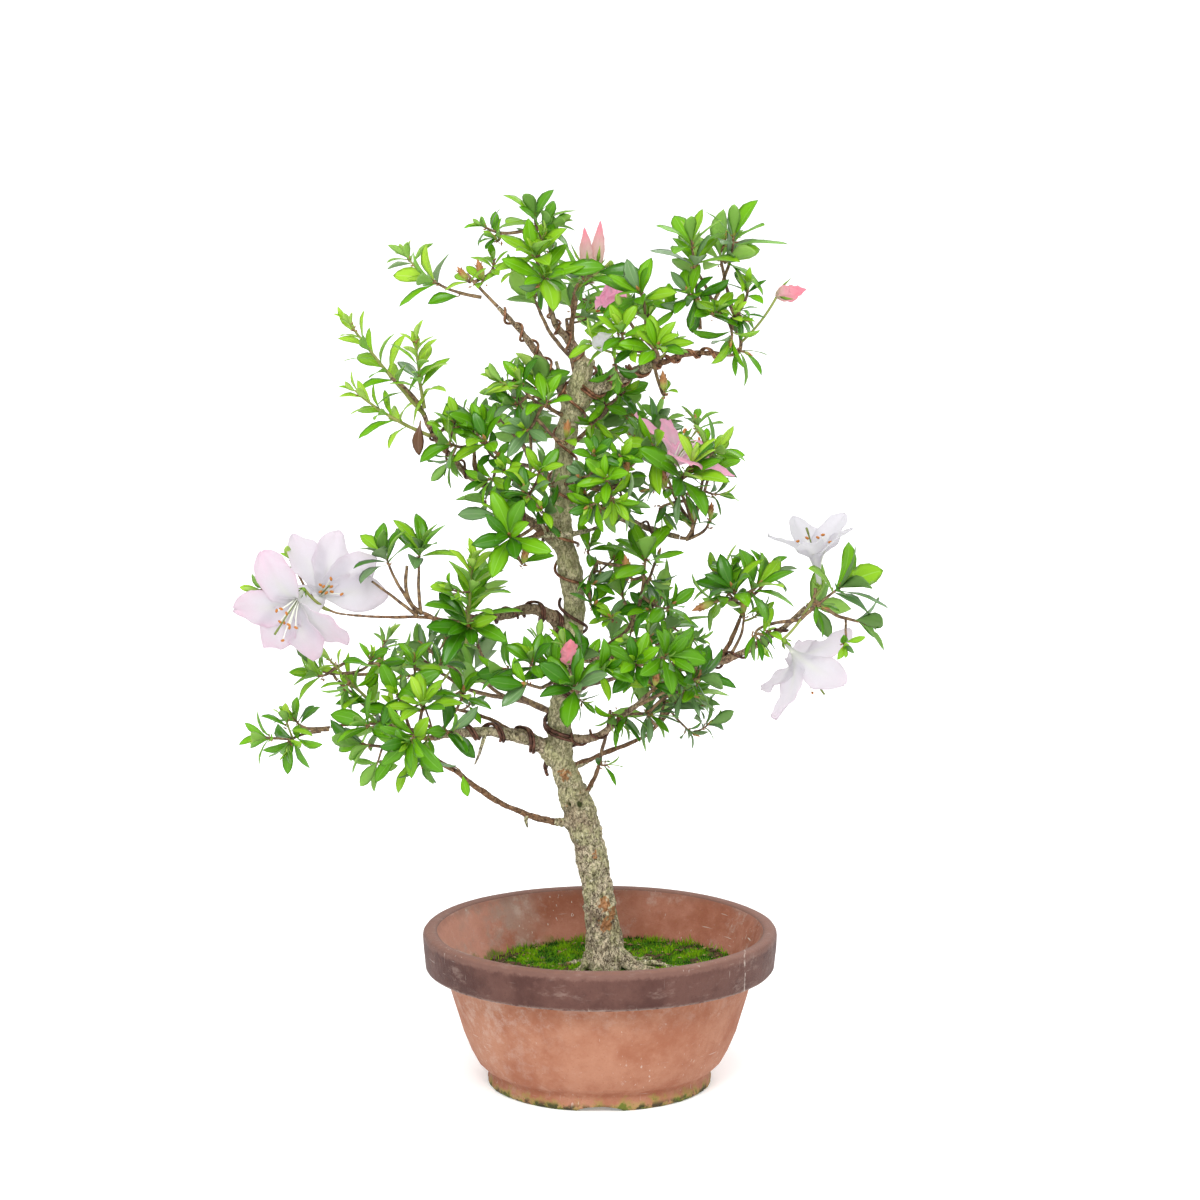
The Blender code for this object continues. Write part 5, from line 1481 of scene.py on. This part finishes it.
def leafTree(leaf, share):
    points, faces = leafBlade(*leaf, bare=plan["leafStalk"], width=leaf[3] * share)
    return BVHTree.FromPolygons(points, faces), [*points[1:], (points[0] + points[-1]) / 2]


class Crown:
    # every leaf placed so far, so that none grows through another
    def __init__(self):
        self.trees = []
        self.middles = numpy.zeros((sprays["most"], 3))

    def hits(self, leaf, tree):
        middle = numpy.array(leaf[0] + leaf[1] * leaf[3] / 2)
        count = len(self.trees)
        gaps = numpy.abs(self.middles[:count] - middle).max(1)
        return any(self.trees[i].overlap(tree) for i in numpy.nonzero(gaps < sprays["near"] * mm)[0])

    def add(self, leaf, tree):
        self.middles[len(self.trees)] = leaf[0] + leaf[1] * leaf[3] / 2
        self.trees.append(tree)


def fits(mass, leaf, share, inside):
    tree, tests = leafTree(leaf, share)
    if crown.hits(leaf, tree):
        return None
    if inside and not space.free(mass, tests, sprays["margin"] * mm, sprays["edge"]):
        return None
    if min(space.nearest(point, mass.name) for point in tests) < sprays["margin"] * mm:
        return None
    return tree


def leafHabit(rng, shoot, share, longest, run):
    # how far a leaf opens, how far back it sits, its length and width; share runs from the tip down
    plain = leafSizes["widths"]["plain"] * rng.uniform(0.86, 1.2)
    if shoot.style == "leaf":
        return 2, 0.1, longest, plain
    if shoot.style == "stem":
        opening = 24 + 48 * share**0.6 + rng.uniform(-8, 10)
        length = longest * (0.52 + 0.62 * min(share, 0.7)) * rng.uniform(0.84, 1.06)
        young = leafSizes["widths"]["young"] * rng.uniform(0.85, 1.15)
        return opening, run * 0.80 * share**0.9, length, young if share < 0.45 else plain * 0.92
    if shoot.style == "droop":
        narrow = leafSizes["widths"]["narrow"] * rng.uniform(0.85, 1.2)
        return 40 + 40 * share + rng.uniform(-12, 12), 0.4 + 9 * share, longest * rng.uniform(0.75, 1), narrow
    if shoot.style == "bud":
        return 58 + 34 * share, 2 + 3 * share, longest * rng.uniform(0.8, 1.05), plain
    opening = 26 + 60 * share + rng.uniform(-9, 9)
    return opening, 0.4 + 6 * share, longest * (0.74 + 0.26 * share) * rng.uniform(0.86, 1.06), plain


def dress(rng, mass, shoot, wanted, longest, inside=True):
    # leaves round a shoot's end, or all along it, wherever they clear what is there
    along = shoot.along
    side = sideOf(along)
    start = rng.uniform(0, 2 * math.pi)
    lengths = lengthsAlong(shoot.path)
    count = len(shoot.path)
    for i in range(wanted):
        share = (i + 0.5) / wanted
        for retry in range(4):
            around = spun(side, start + i * goldenAngle + retry * 0.45, along)
            opening, back, length, wide = leafHabit(rng, shoot, share, longest, lengths[-1] / mm)
            place = float(numpy.interp(lengths[-1] - back * mm, lengths, range(count)))
            index = min(int(place), count - 2)
            root = shoot.path[index].lerp(shoot.path[index + 1], place - index)
            heading, normal = opened(along, around, math.radians(opening))
            if shoot.style == "droop":
                heading = (heading - up * 0.55).normalized()
                normal = (up - heading * heading.z).normalized()
            if shoot.style == "leaf":
                facing = Vector((0, -0.8, 0.6))
                normal = facing - heading * heading.dot(facing)
            leaf = (root, heading, normal.normalized(), length * (1 - 0.08 * retry) * mm)
            tree = fits(mass, leaf, wide, inside)
            if tree:
                crown.add(leaf, tree)
                shoot.leaves.append((leaf, wide))
                break


def growLeaders(mass):
    # the shoots that give the crown its own habit
    shoots = []
    for tip, (turn, lean), leaves, length, tone, *habit in leaderRows.get(mass.name, ()):
        style, start = habit + ["whorl", None][len(habit):]
        rng = random.Random(str(tip))
        tip = Vector(tip) * mm
        turn, lean = math.radians(turn), math.radians(lean)
        along = Vector((math.cos(lean) * math.cos(turn), -math.sin(lean), math.cos(lean) * math.sin(turn)))
        thick = 1.6 * mm
        if start:
            start = Vector(start) * mm
        else:
            wood = mass.wood + [(point, shoot.radius) for shoot in shoots for point in shoot.path[:-1]]
            start, thick = min(wood, key=lambda spot: (spot[0] - tip).length - spot[1] * 3)
        run = (tip - start).length
        path = curve(start, tip - along * run * 0.42 - up * run * 0.05, tip, max(4, round(run / (7 * mm))))
        thick = min(sprays["leader"] * mm, thick) if style != "leaf" else 0.5 * mm
        shoot = Shoot(path, along, thick, tone, style)
        if leaves:
            dress(rng, mass, shoot, leaves, length, inside=False)
        shoots.append(shoot)
    return shoots


def growSprays(mass):
    # then the solids' own shoots, and between them finer ones on all sides
    rng = random.Random(mass.name)
    shoots = mass.leaders
    if not mass.fill:
        return shoots
    gap = sprays["tipGap" if mass.fill > 2 else "openGap"] * mm
    tips = [shoot.path[-1] for shoot in shoots]
    wood = list(mass.wood)
    for shoot in shoots:
        wood += [(point, shoot.radius) for point in shoot.path[1:-1]]
    for shoot in growShoots(mass, space):
        if min(((shoot.path[-1] - tip).length for tip in tips), default=1) < gap:
            continue
        grown = shoot.leaves
        shoot.leaves = []
        for leaf, share in grown:
            tree = fits(mass, leaf, share, False)
            if tree:
                crown.add(leaf, tree)
                shoot.leaves.append((leaf, share))
        dress(rng, mass, shoot, rng.choice((2, 3, 3, 4)) if mass.fill > 2 else 1, 29.0)
        if len(shoot.leaves) >= sprays["tooFew"]:
            shoots.append(shoot)
            tips.append(shoot.path[-1])
            wood += [(point, shoot.radius) for point in fine(shoot.path, [0] * 3, 4 * mm)[0][1:]]
    tries = list(range(mass.fill * 5))
    rng.shuffle(tries)
    turn = rng.uniform(0, 2 * math.pi)
    made = 0
    for layer in sprays["layers"]:
        for i in tries:
            if made == mass.fill:
                break
            height = sprays["top"] - sprays["span"] * (i + 0.5) / len(tries)
            offset, radius = mass.outward(height, turn + i * goldenAngle)
            long = leafSizes["side"][1] * mm * sprays["reachLeaf"]
            tip = mass.centre + offset * max(radius * layer - long, radius * 0.12)
            tip = tip + Vector([rng.uniform(-3, 3) * mm for _ in range(3)])
            if min(((tip - other).length for other in tips), default=1) < sprays["tipGap"] * mm:
                continue
            if not space.free(mass, [tip], plan["shoot"]):
                continue
            start, thick = min(wood, key=lambda spot: (spot[0] - tip).length - spot[1] * 4)
            run = (tip - start).length
            if not sprays["shortest"] * mm < run < sprays["longest"] * mm:
                continue
            bend = start.lerp(tip, 0.55) - up * run * 0.12 + offset * run * 0.06
            path = curve(start, bend, tip, 4)
            along = ((path[-1] - path[-2]).normalized() + offset * 0.55 + up * 0.35).normalized()
            shoot = Shoot(path, along, min(sprays["side"] * mm, thick * 0.9), mass.tone)
            dress(rng, mass, shoot, rng.choice((4, 5, 5, 6, 7)), rng.uniform(*leafSizes["side"]))
            if len(shoot.leaves) < sprays["tooFew"]:
                continue
            shoots.append(shoot)
            tips.append(tip)
            wood += [(point, shoot.radius) for point in path[2:]]
            made += 1
    return shoots


def leafTemplate():
    # points as (place along, place across, 1 on top or 0 below) and faces with their part
    rib = leafSizes["rib"]
    top = (-1.0, -0.5, -rib, rib, 0.5, 1.0)
    under = (0.5, rib, -rib, -0.5)
    spots = [(0.0, 0.0, 1.0, 0.0)]
    for place, width in leafSizes["outline"]:
        spots += [(place, across * width, 1.0, across) for across in top]
        spots += [(place, across * width, 0.0, across) for across in under]
    spots.append((1.0, 0.0, 1.0, 0.0))
    ring = len(top) + len(under)
    parts = [0, 0, 1, 0, 0, 2, 2, 2, 2, 2]
    faces, looks = [], []
    last = len(spots) - 1
    for i in range(ring):
        j = (i + 1) % ring
        faces.append((0, 1 + j, 1 + i))
        looks.append(parts[i])
        for row in range(1, last - ring, ring):
            faces.append((row + i, row + j, row + ring + j, row + ring + i))
            looks.append(parts[i])
        faces.append((last - ring + i, last - ring + j, last))
        looks.append(parts[i])
    return numpy.array(spots), faces, looks


def leafPoints(rng, leaf, share):
    root, heading, normal, length = leaf
    side = heading.cross(normal).normalized()
    place, across, top, edge = leafSpots.T
    fold = rng.uniform(0.08, 0.38)
    droop = rng.uniform(-0.06, 0.14)
    half = length * share / 2
    wave = numpy.sin(place * rng.uniform(7, 12) + rng.uniform(0, 6)) * numpy.abs(edge) * length * 0.012
    lift = length * (leafSizes["arch"] * place * (1 - place) - droop * place**3)
    lift = lift + numpy.abs(across) * half * fold + wave
    lift = lift - (1 - top) * leafSizes["thickness"] * mm - top * (numpy.abs(edge) < 0.1) * 0.12 * mm
    twist = rng.uniform(-0.45, 0.45) * place
    bow = rng.uniform(-0.05, 0.05) * length * place * (1 - place) * 4
    out = across * half
    points = numpy.outer(place * length, heading)
    points += numpy.outer(out * numpy.cos(twist) + bow, side)
    points += numpy.outer(lift + out * numpy.sin(twist), normal)
    return points + numpy.array(root)


def scaleLeaf(tip, along, side, turn, back, spread, length, width):
    # a small bract on a twig
    around = spun(side, turn, along)
    heading = (around * spread + along).normalized()
    normal = heading.cross(along.cross(heading)).normalized()
    return leafBlade(tip - along * back * mm, heading, normal, length * mm, width=width * mm)


class Foliage:
    # the leaves by tone, the twigs by colour, and the dormant buds
    def __init__(self):
        self.leaves = {tone: Shape() for tone in leafColours}
        self.twigs = {tone: Shape() for tone in twigColours}
        self.buds = Shape()
        self.leafCount = self.shootCount = 0

    def addStem(self, mass):
        last = len(mass.stem) - 1
        radii = numpy.interp(range(last + 1), (0, last), (mass.stemRadius, 1.2 * mm))
        points, radii = fine(mass.stem, radii, 3 * mm)
        bumps = lambda point, radius: barkHeight(point, radius * 2) * mm * 0.6
        self.twigs["brown"].add(*tube(points, radii, 9, bumps))

    def addTwig(self, rng, shoot, tip, fresh):
        path = [*shoot.path, tip]
        thick = shoot.radius * (1.1 + 7.0 * lengthsAlong(path)[-1])
        taper = [thick + (shoot.radius * 0.72 - thick) * i / (len(path) - 1) for i in range(len(path))]
        points, radii = fine(path, taper, 2.5 * mm)
        for i in range(len(points)):
            radii[i] *= 1 + 0.16 * noise.noise(points[i] / mm / 2.5)
            points[i] = points[i] + noise.noise_vector(points[i] / mm / 9) * 0.5 * mm * min(1, i / 4)
        young = shoot.style == "stem" or (fresh and shoot.radius < 0.8 * mm and rng.random() < 0.7)
        self.twigs["green" if young else "brown"].add(*tube(points, radii, 7))

    def addLeaf(self, rng, tone, leaf, share):
        self.leaves[tone].add(leafPoints(rng, leaf, share), leafFaces, leafParts)
        self.leafCount += 1

    def addLeaves(self, rng, shoot):
        # most of a shoot's leaves have one tone; those at the tip of a stem are the youngest
        choices, shares = zip(*leafTones[shoot.tone])
        tint = rng.choices(choices, shares)[0]
        for i, (leaf, share) in enumerate(shoot.leaves):
            tone = tint if rng.random() < 0.45 else rng.choices(choices, shares)[0]
            if shoot.style == "stem" and shoot.tone != "grey":
                tone = "young" if i < 5 else "bright" if i < 10 and rng.random() < 0.6 else tone
            elif tone == "young" and i > 3:
                tone = "bright"
            if shoot.style == "droop":
                tone = rng.choice(("deep", "mid", "grey", "mid"))
            self.addLeaf(rng, tone, leaf, share)

    def addCentre(self, rng, shoot, tip, side, count):
        # small new leaves in the middle of a whorl
        for i in range(count):
            around = spun(side, i * goldenAngle, shoot.along)
            heading, normal = opened(shoot.along, around, math.radians(rng.uniform(6, 32)))
            small = (tip - shoot.along * 1.5 * mm, heading, normal, rng.uniform(*leafSizes["young"]) * mm)
            young = 0.75 if shoot.tone in ("bright", "fresh") else 0.35
            self.addLeaf(rng, "young" if rng.random() < young else "bright", small, 0.33)

    def addSwelling(self, tip, along, size, steps, radii, sides):
        # a bud, green at its foot and ripe at its tip
        swell = [tip + along * step * size * mm for step in steps]
        skin = tube(swell, [radius * size * mm for radius in radii], sides)
        last = len(steps) - 1
        self.buds.add(*skin, tip=[ring / last for ring in range(last + 1) for _ in range(sides)])

    def addBud(self, rng, tip, along, side):
        size = rng.uniform(0.85, 1.2)
        self.addSwelling(tip, along, size, (-2, 0, 2.5, 5.5, 9.0, 12.0), (0.8, 1.7, 2.4, 2.1, 1.2, 0.15), 10)
        for i in range(9):
            bract = scaleLeaf(tip, along, side, i * 2.4, 1.5 - i * 0.5, 0.38, 8.0 * size, 2.8)
            if i % 3:
                self.twigs["scale"].add(*bract)
            else:
                self.buds.add(*bract, tip=[0.2, 0.5, 0.5, 0.5, 1.0])

    def addShoot(self, rng, shoot):
        self.shootCount += 1
        freshShare = {"bright": 0.75, "fresh": 0.9, "mixed": 0.5}.get(shoot.tone, 0.25)
        fresh = rng.random() < freshShare
        along, tip = shoot.along, shoot.path[-1] + shoot.along * 1.6 * mm
        self.addTwig(rng, shoot, tip, fresh)
        self.addLeaves(rng, shoot)
        if shoot.style in ("twig", "leaf"):
            return
        side = along.cross(Vector((0.3, 0.8, 0.2))).normalized()
        centre = rng.choice((2, 3, 4)) if fresh else rng.choice((0, 0, 1, 2))
        if shoot.style == "bud":
            self.addBud(rng, tip, along, side)
        else:
            self.addCentre(rng, shoot, tip, side, centre)
            if centre < 2:
                self.addSwelling(tip, along, 1, (-2, 0, 2, 4.6), (0.6, 1.25, 1.1, 0.15), 8)
        for i in range(6):
            back, spread, long = rng.uniform(1, 9), rng.uniform(0.5, 2.5), rng.uniform(2.2, 4.6)
            turn = i * 1.7 + self.shootCount
            self.twigs["scale"].add(*scaleLeaf(tip, along, side, turn, back, spread, long, 1.3))

    def makePieces(self):
        nodes = ["foliage_" + mass.name for mass in masses]
        for tone, shape in self.leaves.items():
            looks = []
            for part, colour in zip(("Top", "Rib", "Under"), leafColours[tone]):
                shine = {"grey": 0.6, "deep": 0.45, "mid": 0.36}.get(tone, 0.26)
                look = Look(tone + "Leaf" + part, colour, 0.30 if part == "Top" else 0.6, shine=shine)
                look.glow(0.30, [min(1.0, share * 1.6) for share in colour])
                looks.append(look)
            shape.piece("leaves_" + tone, looks, "foliage", nodes)
        for tone, shape in self.twigs.items():
            look = Look(tone + "Twig", tone, 0.75, palette=twigColours)
            if tone == "brown":
                grain = look.cloud(320, 4, 0.6)
                look.colour = (0.085, 0.045, 0.026)
                look.paint(look.rise(grain, 0.38, 0.62), (0.27, 0.17, 0.085))
                look.relief(grain, 0.0004)
            shape.piece("twigs_" + tone, [look], "bough_bark")
        look = Look("dormantBud", "green", 0.5, palette=budColours)
        look.paint(look.rise(look.mark("tip") + look.cloud(260, 4, 0.6) * 0.6, 0.60, 1.05), "ripe")
        self.buds.piece("dormantBuds", [look], "foliage")


def makeFoliage():
    foliage = Foliage()
    for mass in masses:
        rng = random.Random(mass.seed + 1000)
        foliage.addStem(mass)
        for shoot in growSprays(mass):
            foliage.addShoot(rng, shoot)
    foliage.makePieces()
    print("leaves:", foliage.leafCount, "on", foliage.shootCount, "shoots")



crown = Crown()
leafSpots, leafFaces, leafParts = leafTemplate()
for mass in masses:
    mass.wood = [(point, mass.stemRadius) for point in fine(mass.stem, [0] * len(mass.stem), 4 * mm)[0][2:]]
    mass.wood += [(mass.limb.points[-1], mass.limb.radii[-1])] if not mass.onTrunk else []
for mass in masses:
    mass.leaders = growLeaders(mass)
makeFoliage()


# ---- blossom ----
petalSizes = {
    # the first entry is how strongly the petals glow of themselves: painted light
    "paintedGlow": 0.30, "rows": 24, "columns": 17, "thickness": 0.35, "twist": 10.0, "budRows": 30, "budSides": 44,
    # share of the way along a petal, and half its width there in mm
    "widths": (
        (0.0, 0.9), (0.14, 3.2), (0.28, 7.4), (0.44, 12.2), (0.58, 14.2), (0.72, 13.5), (0.83, 11.0),
        (0.92, 7.4), (0.97, 4.4), (1.0, 1.5),
    ),
}
petalColours = {
    "white": (0.435, 0.430, 0.455), "blush": (0.60, 0.23, 0.39), "pink": (0.72, 0.26, 0.43),
    "throat": (0.48, 0.58, 0.24), "shade": (0.62, 0.63, 0.70), "filament": (0.74, 0.76, 0.66),
    "anther": (0.42, 0.15, 0.030), "pistil": (0.16, 0.20, 0.05), "calyx": (0.17, 0.30, 0.03),
    "stalk": (0.24, 0.28, 0.07), "budBlush": (0.70, 0.115, 0.20),
}
# blush, how far the edge curls back, and how ruffled it is, for each bloom
bloomHabits = {
    "leftFront": (1.05, 0.26, 1.1), "leftBack": (0.45, 0.26, 1.2), "rightUpright": (0.0, 0.10, 0.9),
    "rightHanging": (0.45, 0.20, 1.2), "midRight": (3.0, 0.22, 1.0), "apexBehind": (6.0, 0.22, 1.0),
}


def petalLook(name, blush, through):
    # blush is the colour of its edges; through, of the light that comes through it and of the painted glow that
    # lifts the petals' shade
    look = Look(name, "white", 0.55, shine=0.25, palette=petalColours)
    look.paint(look.mark("blush"), blush)
    look.paint(veins(look, 330, (1, 1, 1), 0.035) * 0.22, "shade")
    look.paint(look.mark("throat"), "throat")
    look.glow(0.60, through)
    # the petal glows a little of itself: painted light that lifts its shaded parts
    look.set(**{"Emission Color": through, "Emission Strength": petalSizes["paintedGlow"]})
    return look


def sheetFaces(rows, columns):
    # a sheet's upper and lower side, and the walls round its edge
    faces = []
    count = (rows + 1) * columns
    for i in range(rows):
        for a in range(i * columns, (i + 1) * columns - 1):
            b = a + columns
            faces.append((a, a + 1, b + 1, b))
            faces.append((count + a, count + b, count + b + 1, count + a + 1))
        for a, flip in ((i * columns, 1), (i * columns + columns - 1, 0)):
            b = a + columns
            wall = (a, b, count + b, count + a)
            faces.append(wall if flip else wall[::-1])
    for start, flip in ((0, 0), (rows * columns, 1)):
        for a in range(start, start + columns - 1):
            wall = (a, count + a, count + a + 1, a + 1)
            faces.append(wall[::-1] if flip else wall)
    return faces


def petalShell(rng, throat, facing, path, opening, habit):
    # a thin petal along its midline, rolled about the flower's axis into the tube
    blush, curl, ruffle = habit
    axis = Vector(facing).normalized()
    throat = Vector(throat) * mm
    outward = (path[-1] - path[0]).normalized()
    base = throat - axis * corolla["throatDepth"] + (outward - axis * outward.dot(axis)).normalized() * 1.3 * mm
    middle = [base, *path]
    line, _ = fine(middle, [0] * len(middle), lengthsAlong(middle)[-1] / 60)
    crowding = 0.5 + 0.5 * math.sin(math.radians(opening))
    rows, columns = petalSizes["rows"], petalSizes["columns"]
    places, widths = zip(*petalSizes["widths"])
    turn = Matrix.Rotation(math.radians(petalSizes["twist"]), 3, outward)
    phase = [rng.uniform(0, 6.3) for _ in range(5)]
    top, bottom, blushes, greens = [], [], [], []
    for i in range(rows + 1):
        t = (i / rows) ** 0.9
        at = t * (len(line) - 1)
        index = min(int(at), len(line) - 2)
        point = line[index].lerp(line[index + 1], at - index)
        along = (line[index + 1] - line[index]).normalized()
        share = min(1.0, max(0.0, (t - 0.25) / 0.3))
        radial = point - throat - axis * (point - throat).dot(axis)
        distance = max(radial.length, 1.4 * mm)
        radial = radial.normalized() if radial.length > 0.2 * mm else outward
        normal = (axis * (0.2 + 0.8 * share) - radial * (1.0 - share)).normalized()
        side = along.cross(turn @ normal if share > 0.5 else normal).normalized()
        normal = side.cross(along).normalized()
        half = float(numpy.interp(t, places, widths)) * mm * crowding * rng.uniform(0.985, 1.015)
        roll = half / distance * (1 - 0.8 * share)
        for j in range(columns):
            v = 2 * j / (columns - 1) - 1
            rim = abs(v) ** 3
            shift = side * half * v
            if roll > 0.01:
                angle = min(roll, 1.9) * v
                shift = side * half * math.sin(angle) / roll
                shift += normal * half * (1 - math.cos(angle)) / roll
            wave = math.sin(t * 14 + phase[0] + v) * 0.6 + math.sin(t * 27 + phase[1] - v) * 0.4
            lift = rim * wave * ruffle * 1.8 * mm * share
            lift += noise.noise(Vector((t * 3, v * 1.6, phase[3]))) * 1.6 * mm * share
            lift += math.sin(v * 2.4 + phase[2]) * 0.7 * mm * share
            lift -= curl * half * v * v * share * max(0.0, t - 0.45) * 2.2
            lift -= (1 - abs(v)) ** 4 * 0.9 * mm * share * (1 - t)
            spot = point + shift + normal * lift
            top.append(spot)
            bottom.append(spot - normal * petalSizes["thickness"] * mm)
            edge = max(rim * 0.75 * share, max(0.0, (t - 0.5) / 0.5) ** 1.2 * 0.85)
            patch = 0.5 + 0.6 * noise.noise(spot / mm / 9)
            streak = 0.5 + 0.5 * math.sin(v * 16 + phase[4] + 2 * noise.noise(spot / mm / 5))
            blushes.append(min(1.0, blush * (edge * (0.30 + 0.55 * patch + 0.15 * streak) + 0.05 * share)))
            stripe = 0.5 * max(0.0, 1 - abs(v) * 3.2) * max(0.0, 1 - abs(t - 0.42) * 3.2) * 0.55
            greens.append(0.6 * max(0.0, 1 - t / 0.34) + stripe)
    return top + bottom, sheetFaces(rows, columns), blushes * 2, greens * 2


def makeStalk(inside, owner, target, radius):
    # from the mass's stem to a bloom or a bud, sagging a little on the way
    mass = next(mass for mass in masses if mass.name == owner)
    start = mass.stem[3]
    bend = start.lerp(target, 0.6) - up * (target - start).length * 0.15
    path = curve(start, bend, target, 10)
    inside["stalk"].add(*tube(path, [radius] * len(path), 8))


def makeStamens(rng, inside, mouth, base, axis, side):
    droop = -up * 4 * mm
    for i in range(rng.randint(7, 9)):
        around = spun(side, i * goldenAngle + 1, axis)
        spread = rng.uniform(3, 11.5) * mm
        reach = rng.uniform(12, 27) * mm
        tip = mouth + axis * reach + around * spread + droop * rng.uniform(0, 1)
        path = curve(base + around * 0.6 * mm, mouth + around * 1.2 * mm + axis * 4 * mm, tip, 10)
        inside["filament"].add(*tube(path, [0.42 * mm] * 8 + [0.36 * mm] * 3, 6))
        lie = (around * rng.uniform(-1, 1) + side * 0.6 + up * rng.uniform(-0.4, 0.4)).normalized()
        pod = [tip + lie * share * mm for share in (-1.5, -0.9, 0.2, 1.0, 1.5)]
        inside["anther"].add(*tube(pod, [0.2 * mm, 0.8 * mm, 0.9 * mm, 0.7 * mm, 0.15 * mm], 8))
    tip = mouth + axis * 31 * mm + side * 3 * mm + droop
    path = curve(base, mouth + axis * 8 * mm, tip, 12)
    inside["pistil"].add(*tube(path, [0.50 * mm] * 11 + [0.8 * mm, 0.75 * mm], 7))


def makeBloom(inside, looks, name, owner, throat, facing, opening, length, turns):
    rng = random.Random(name)
    axis = Vector(facing).normalized()
    habit = bloomHabits[name]
    shape = Shape()
    for path in petalPaths(throat, facing, opening, length, turns):
        points, faces, blush, green = petalShell(rng, throat, facing, path, opening, habit)
        shape.add(points, faces, 0, blush=blush, throat=green)
    shape.piece("bloom_" + name, [looks["pink" if habit[0] > 2 else "white"]], "blossom")
    mouth = Vector(throat) * mm
    base = mouth - axis * corolla["throatDepth"]
    side = sideOf(axis, (0, 1, 0))
    makeStamens(rng, inside, mouth, base, axis, side)
    cup = [base - axis * 2.6 * mm, base - axis * 1.0 * mm, base + axis * 1.6 * mm]
    inside["calyx"].add(*tube(cup, [0.8 * mm, 2.0 * mm, 1.7 * mm], 10))
    for i in range(5):
        around = spun(side, i * 2 * math.pi / 5, axis)
        foot = base - axis * 0.8 * mm + around * 1.5 * mm
        lobe = (foot, (axis + around * 0.55).normalized(), around, 6.0 * mm)
        inside["calyx"].add(*leafBlade(*lobe, width=2.2 * mm))
    makeStalk(inside, owner, base - axis * 2.2 * mm, 0.95 * mm)


def makeBud(inside, looks, name, owner, middle, facing, length, diameter, crumple, blushes, greenness):
    # petals wrapped over each other, each with its own edge
    foot, tip = blushes
    axis = Vector(facing).normalized()
    side = axis.cross(Vector((0.2, 0.9, 0.1))).normalized()
    other = axis.cross(side)
    middle = Vector(middle) * mm
    points, blush, green = [], [], []
    rows, sides = petalSizes["budRows"], petalSizes["budSides"]
    for i in range(rows + 1):
        t = i / rows
        belly = math.sin(math.pi * t**0.72) ** 0.8 * (1 - 0.25 * t) + 0.04
        for j in range(sides):
            turn = 2 * math.pi * j / sides + t * 2.1
            lap = (turn * 5 / (2 * math.pi) - t * 0.9) % 1.0
            fold = 0.93 + 0.16 * lap**1.5 * math.sin(math.pi * t)
            out = side * math.cos(turn) + other * math.sin(turn)
            spot = middle + axis * (t - 0.5) * length * mm + out * diameter / 2 * mm * belly * fold
            swirl = noise.noise_vector(spot / mm / 3.4 + Vector((name.count("w"), 3, 1)))
            points.append(spot + swirl * crumple * diameter * mm * math.sin(math.pi * t))
            streak = 0.82 + 0.25 * noise.noise(Vector((math.cos(turn) * 4, math.sin(turn) * 4, t)))
            blush.append(min(1.0, max(0.0, foot + (tip - foot) * t) * (0.66 + 0.42 * lap) * streak))
            green.append(max(0.0, (1 - t * greenness) * (1.1 - 0.6 * lap)))
    shape = Shape()
    shape.add(points, closedFaces(rows + 1, sides), 0, blush=blush, throat=green)
    shape.piece("bud_" + name, [looks["bud" if tip > 0.5 else "white"]], "blossom")
    base = middle - axis * length / 2 * mm
    for i in range(7):
        around = spun(side, i * goldenAngle, axis)
        long = length * (0.30 if i < 5 else 0.8) * mm
        lobe = (base + around * 0.6 * mm, (axis + around * (0.35 + 0.08 * i)).normalized(), around, long)
        inside["calyx"].add(*leafBlade(*lobe, width=2.6 * mm))
    makeStalk(inside, owner, base + axis * 1.5 * mm, 0.85 * mm)


def makeBlooms():
    looks = {
        "white": petalLook("petal", "blush", (0.86, 0.84, 0.87)),
        "pink": petalLook("pinkPetal", "pink", (0.90, 0.68, 0.78)),
        "bud": petalLook("budPetal", "budBlush", (0.84, 0.50, 0.54)),
    }
    inside = {part: Shape() for part in ("filament", "anther", "pistil", "calyx", "stalk")}
    for row in bloomRows:
        makeBloom(inside, looks, *row)
    for row in budRows:
        makeBud(inside, looks, *row)
    for part, shape in inside.items():
        look = Look(part, petalColours[part], 0.6, shine=0.25)
        shape.piece("flower_" + part, [look], "blossom" if part in ("filament", "anther", "pistil") else "foliage")


makeBlooms()
print("blossom")
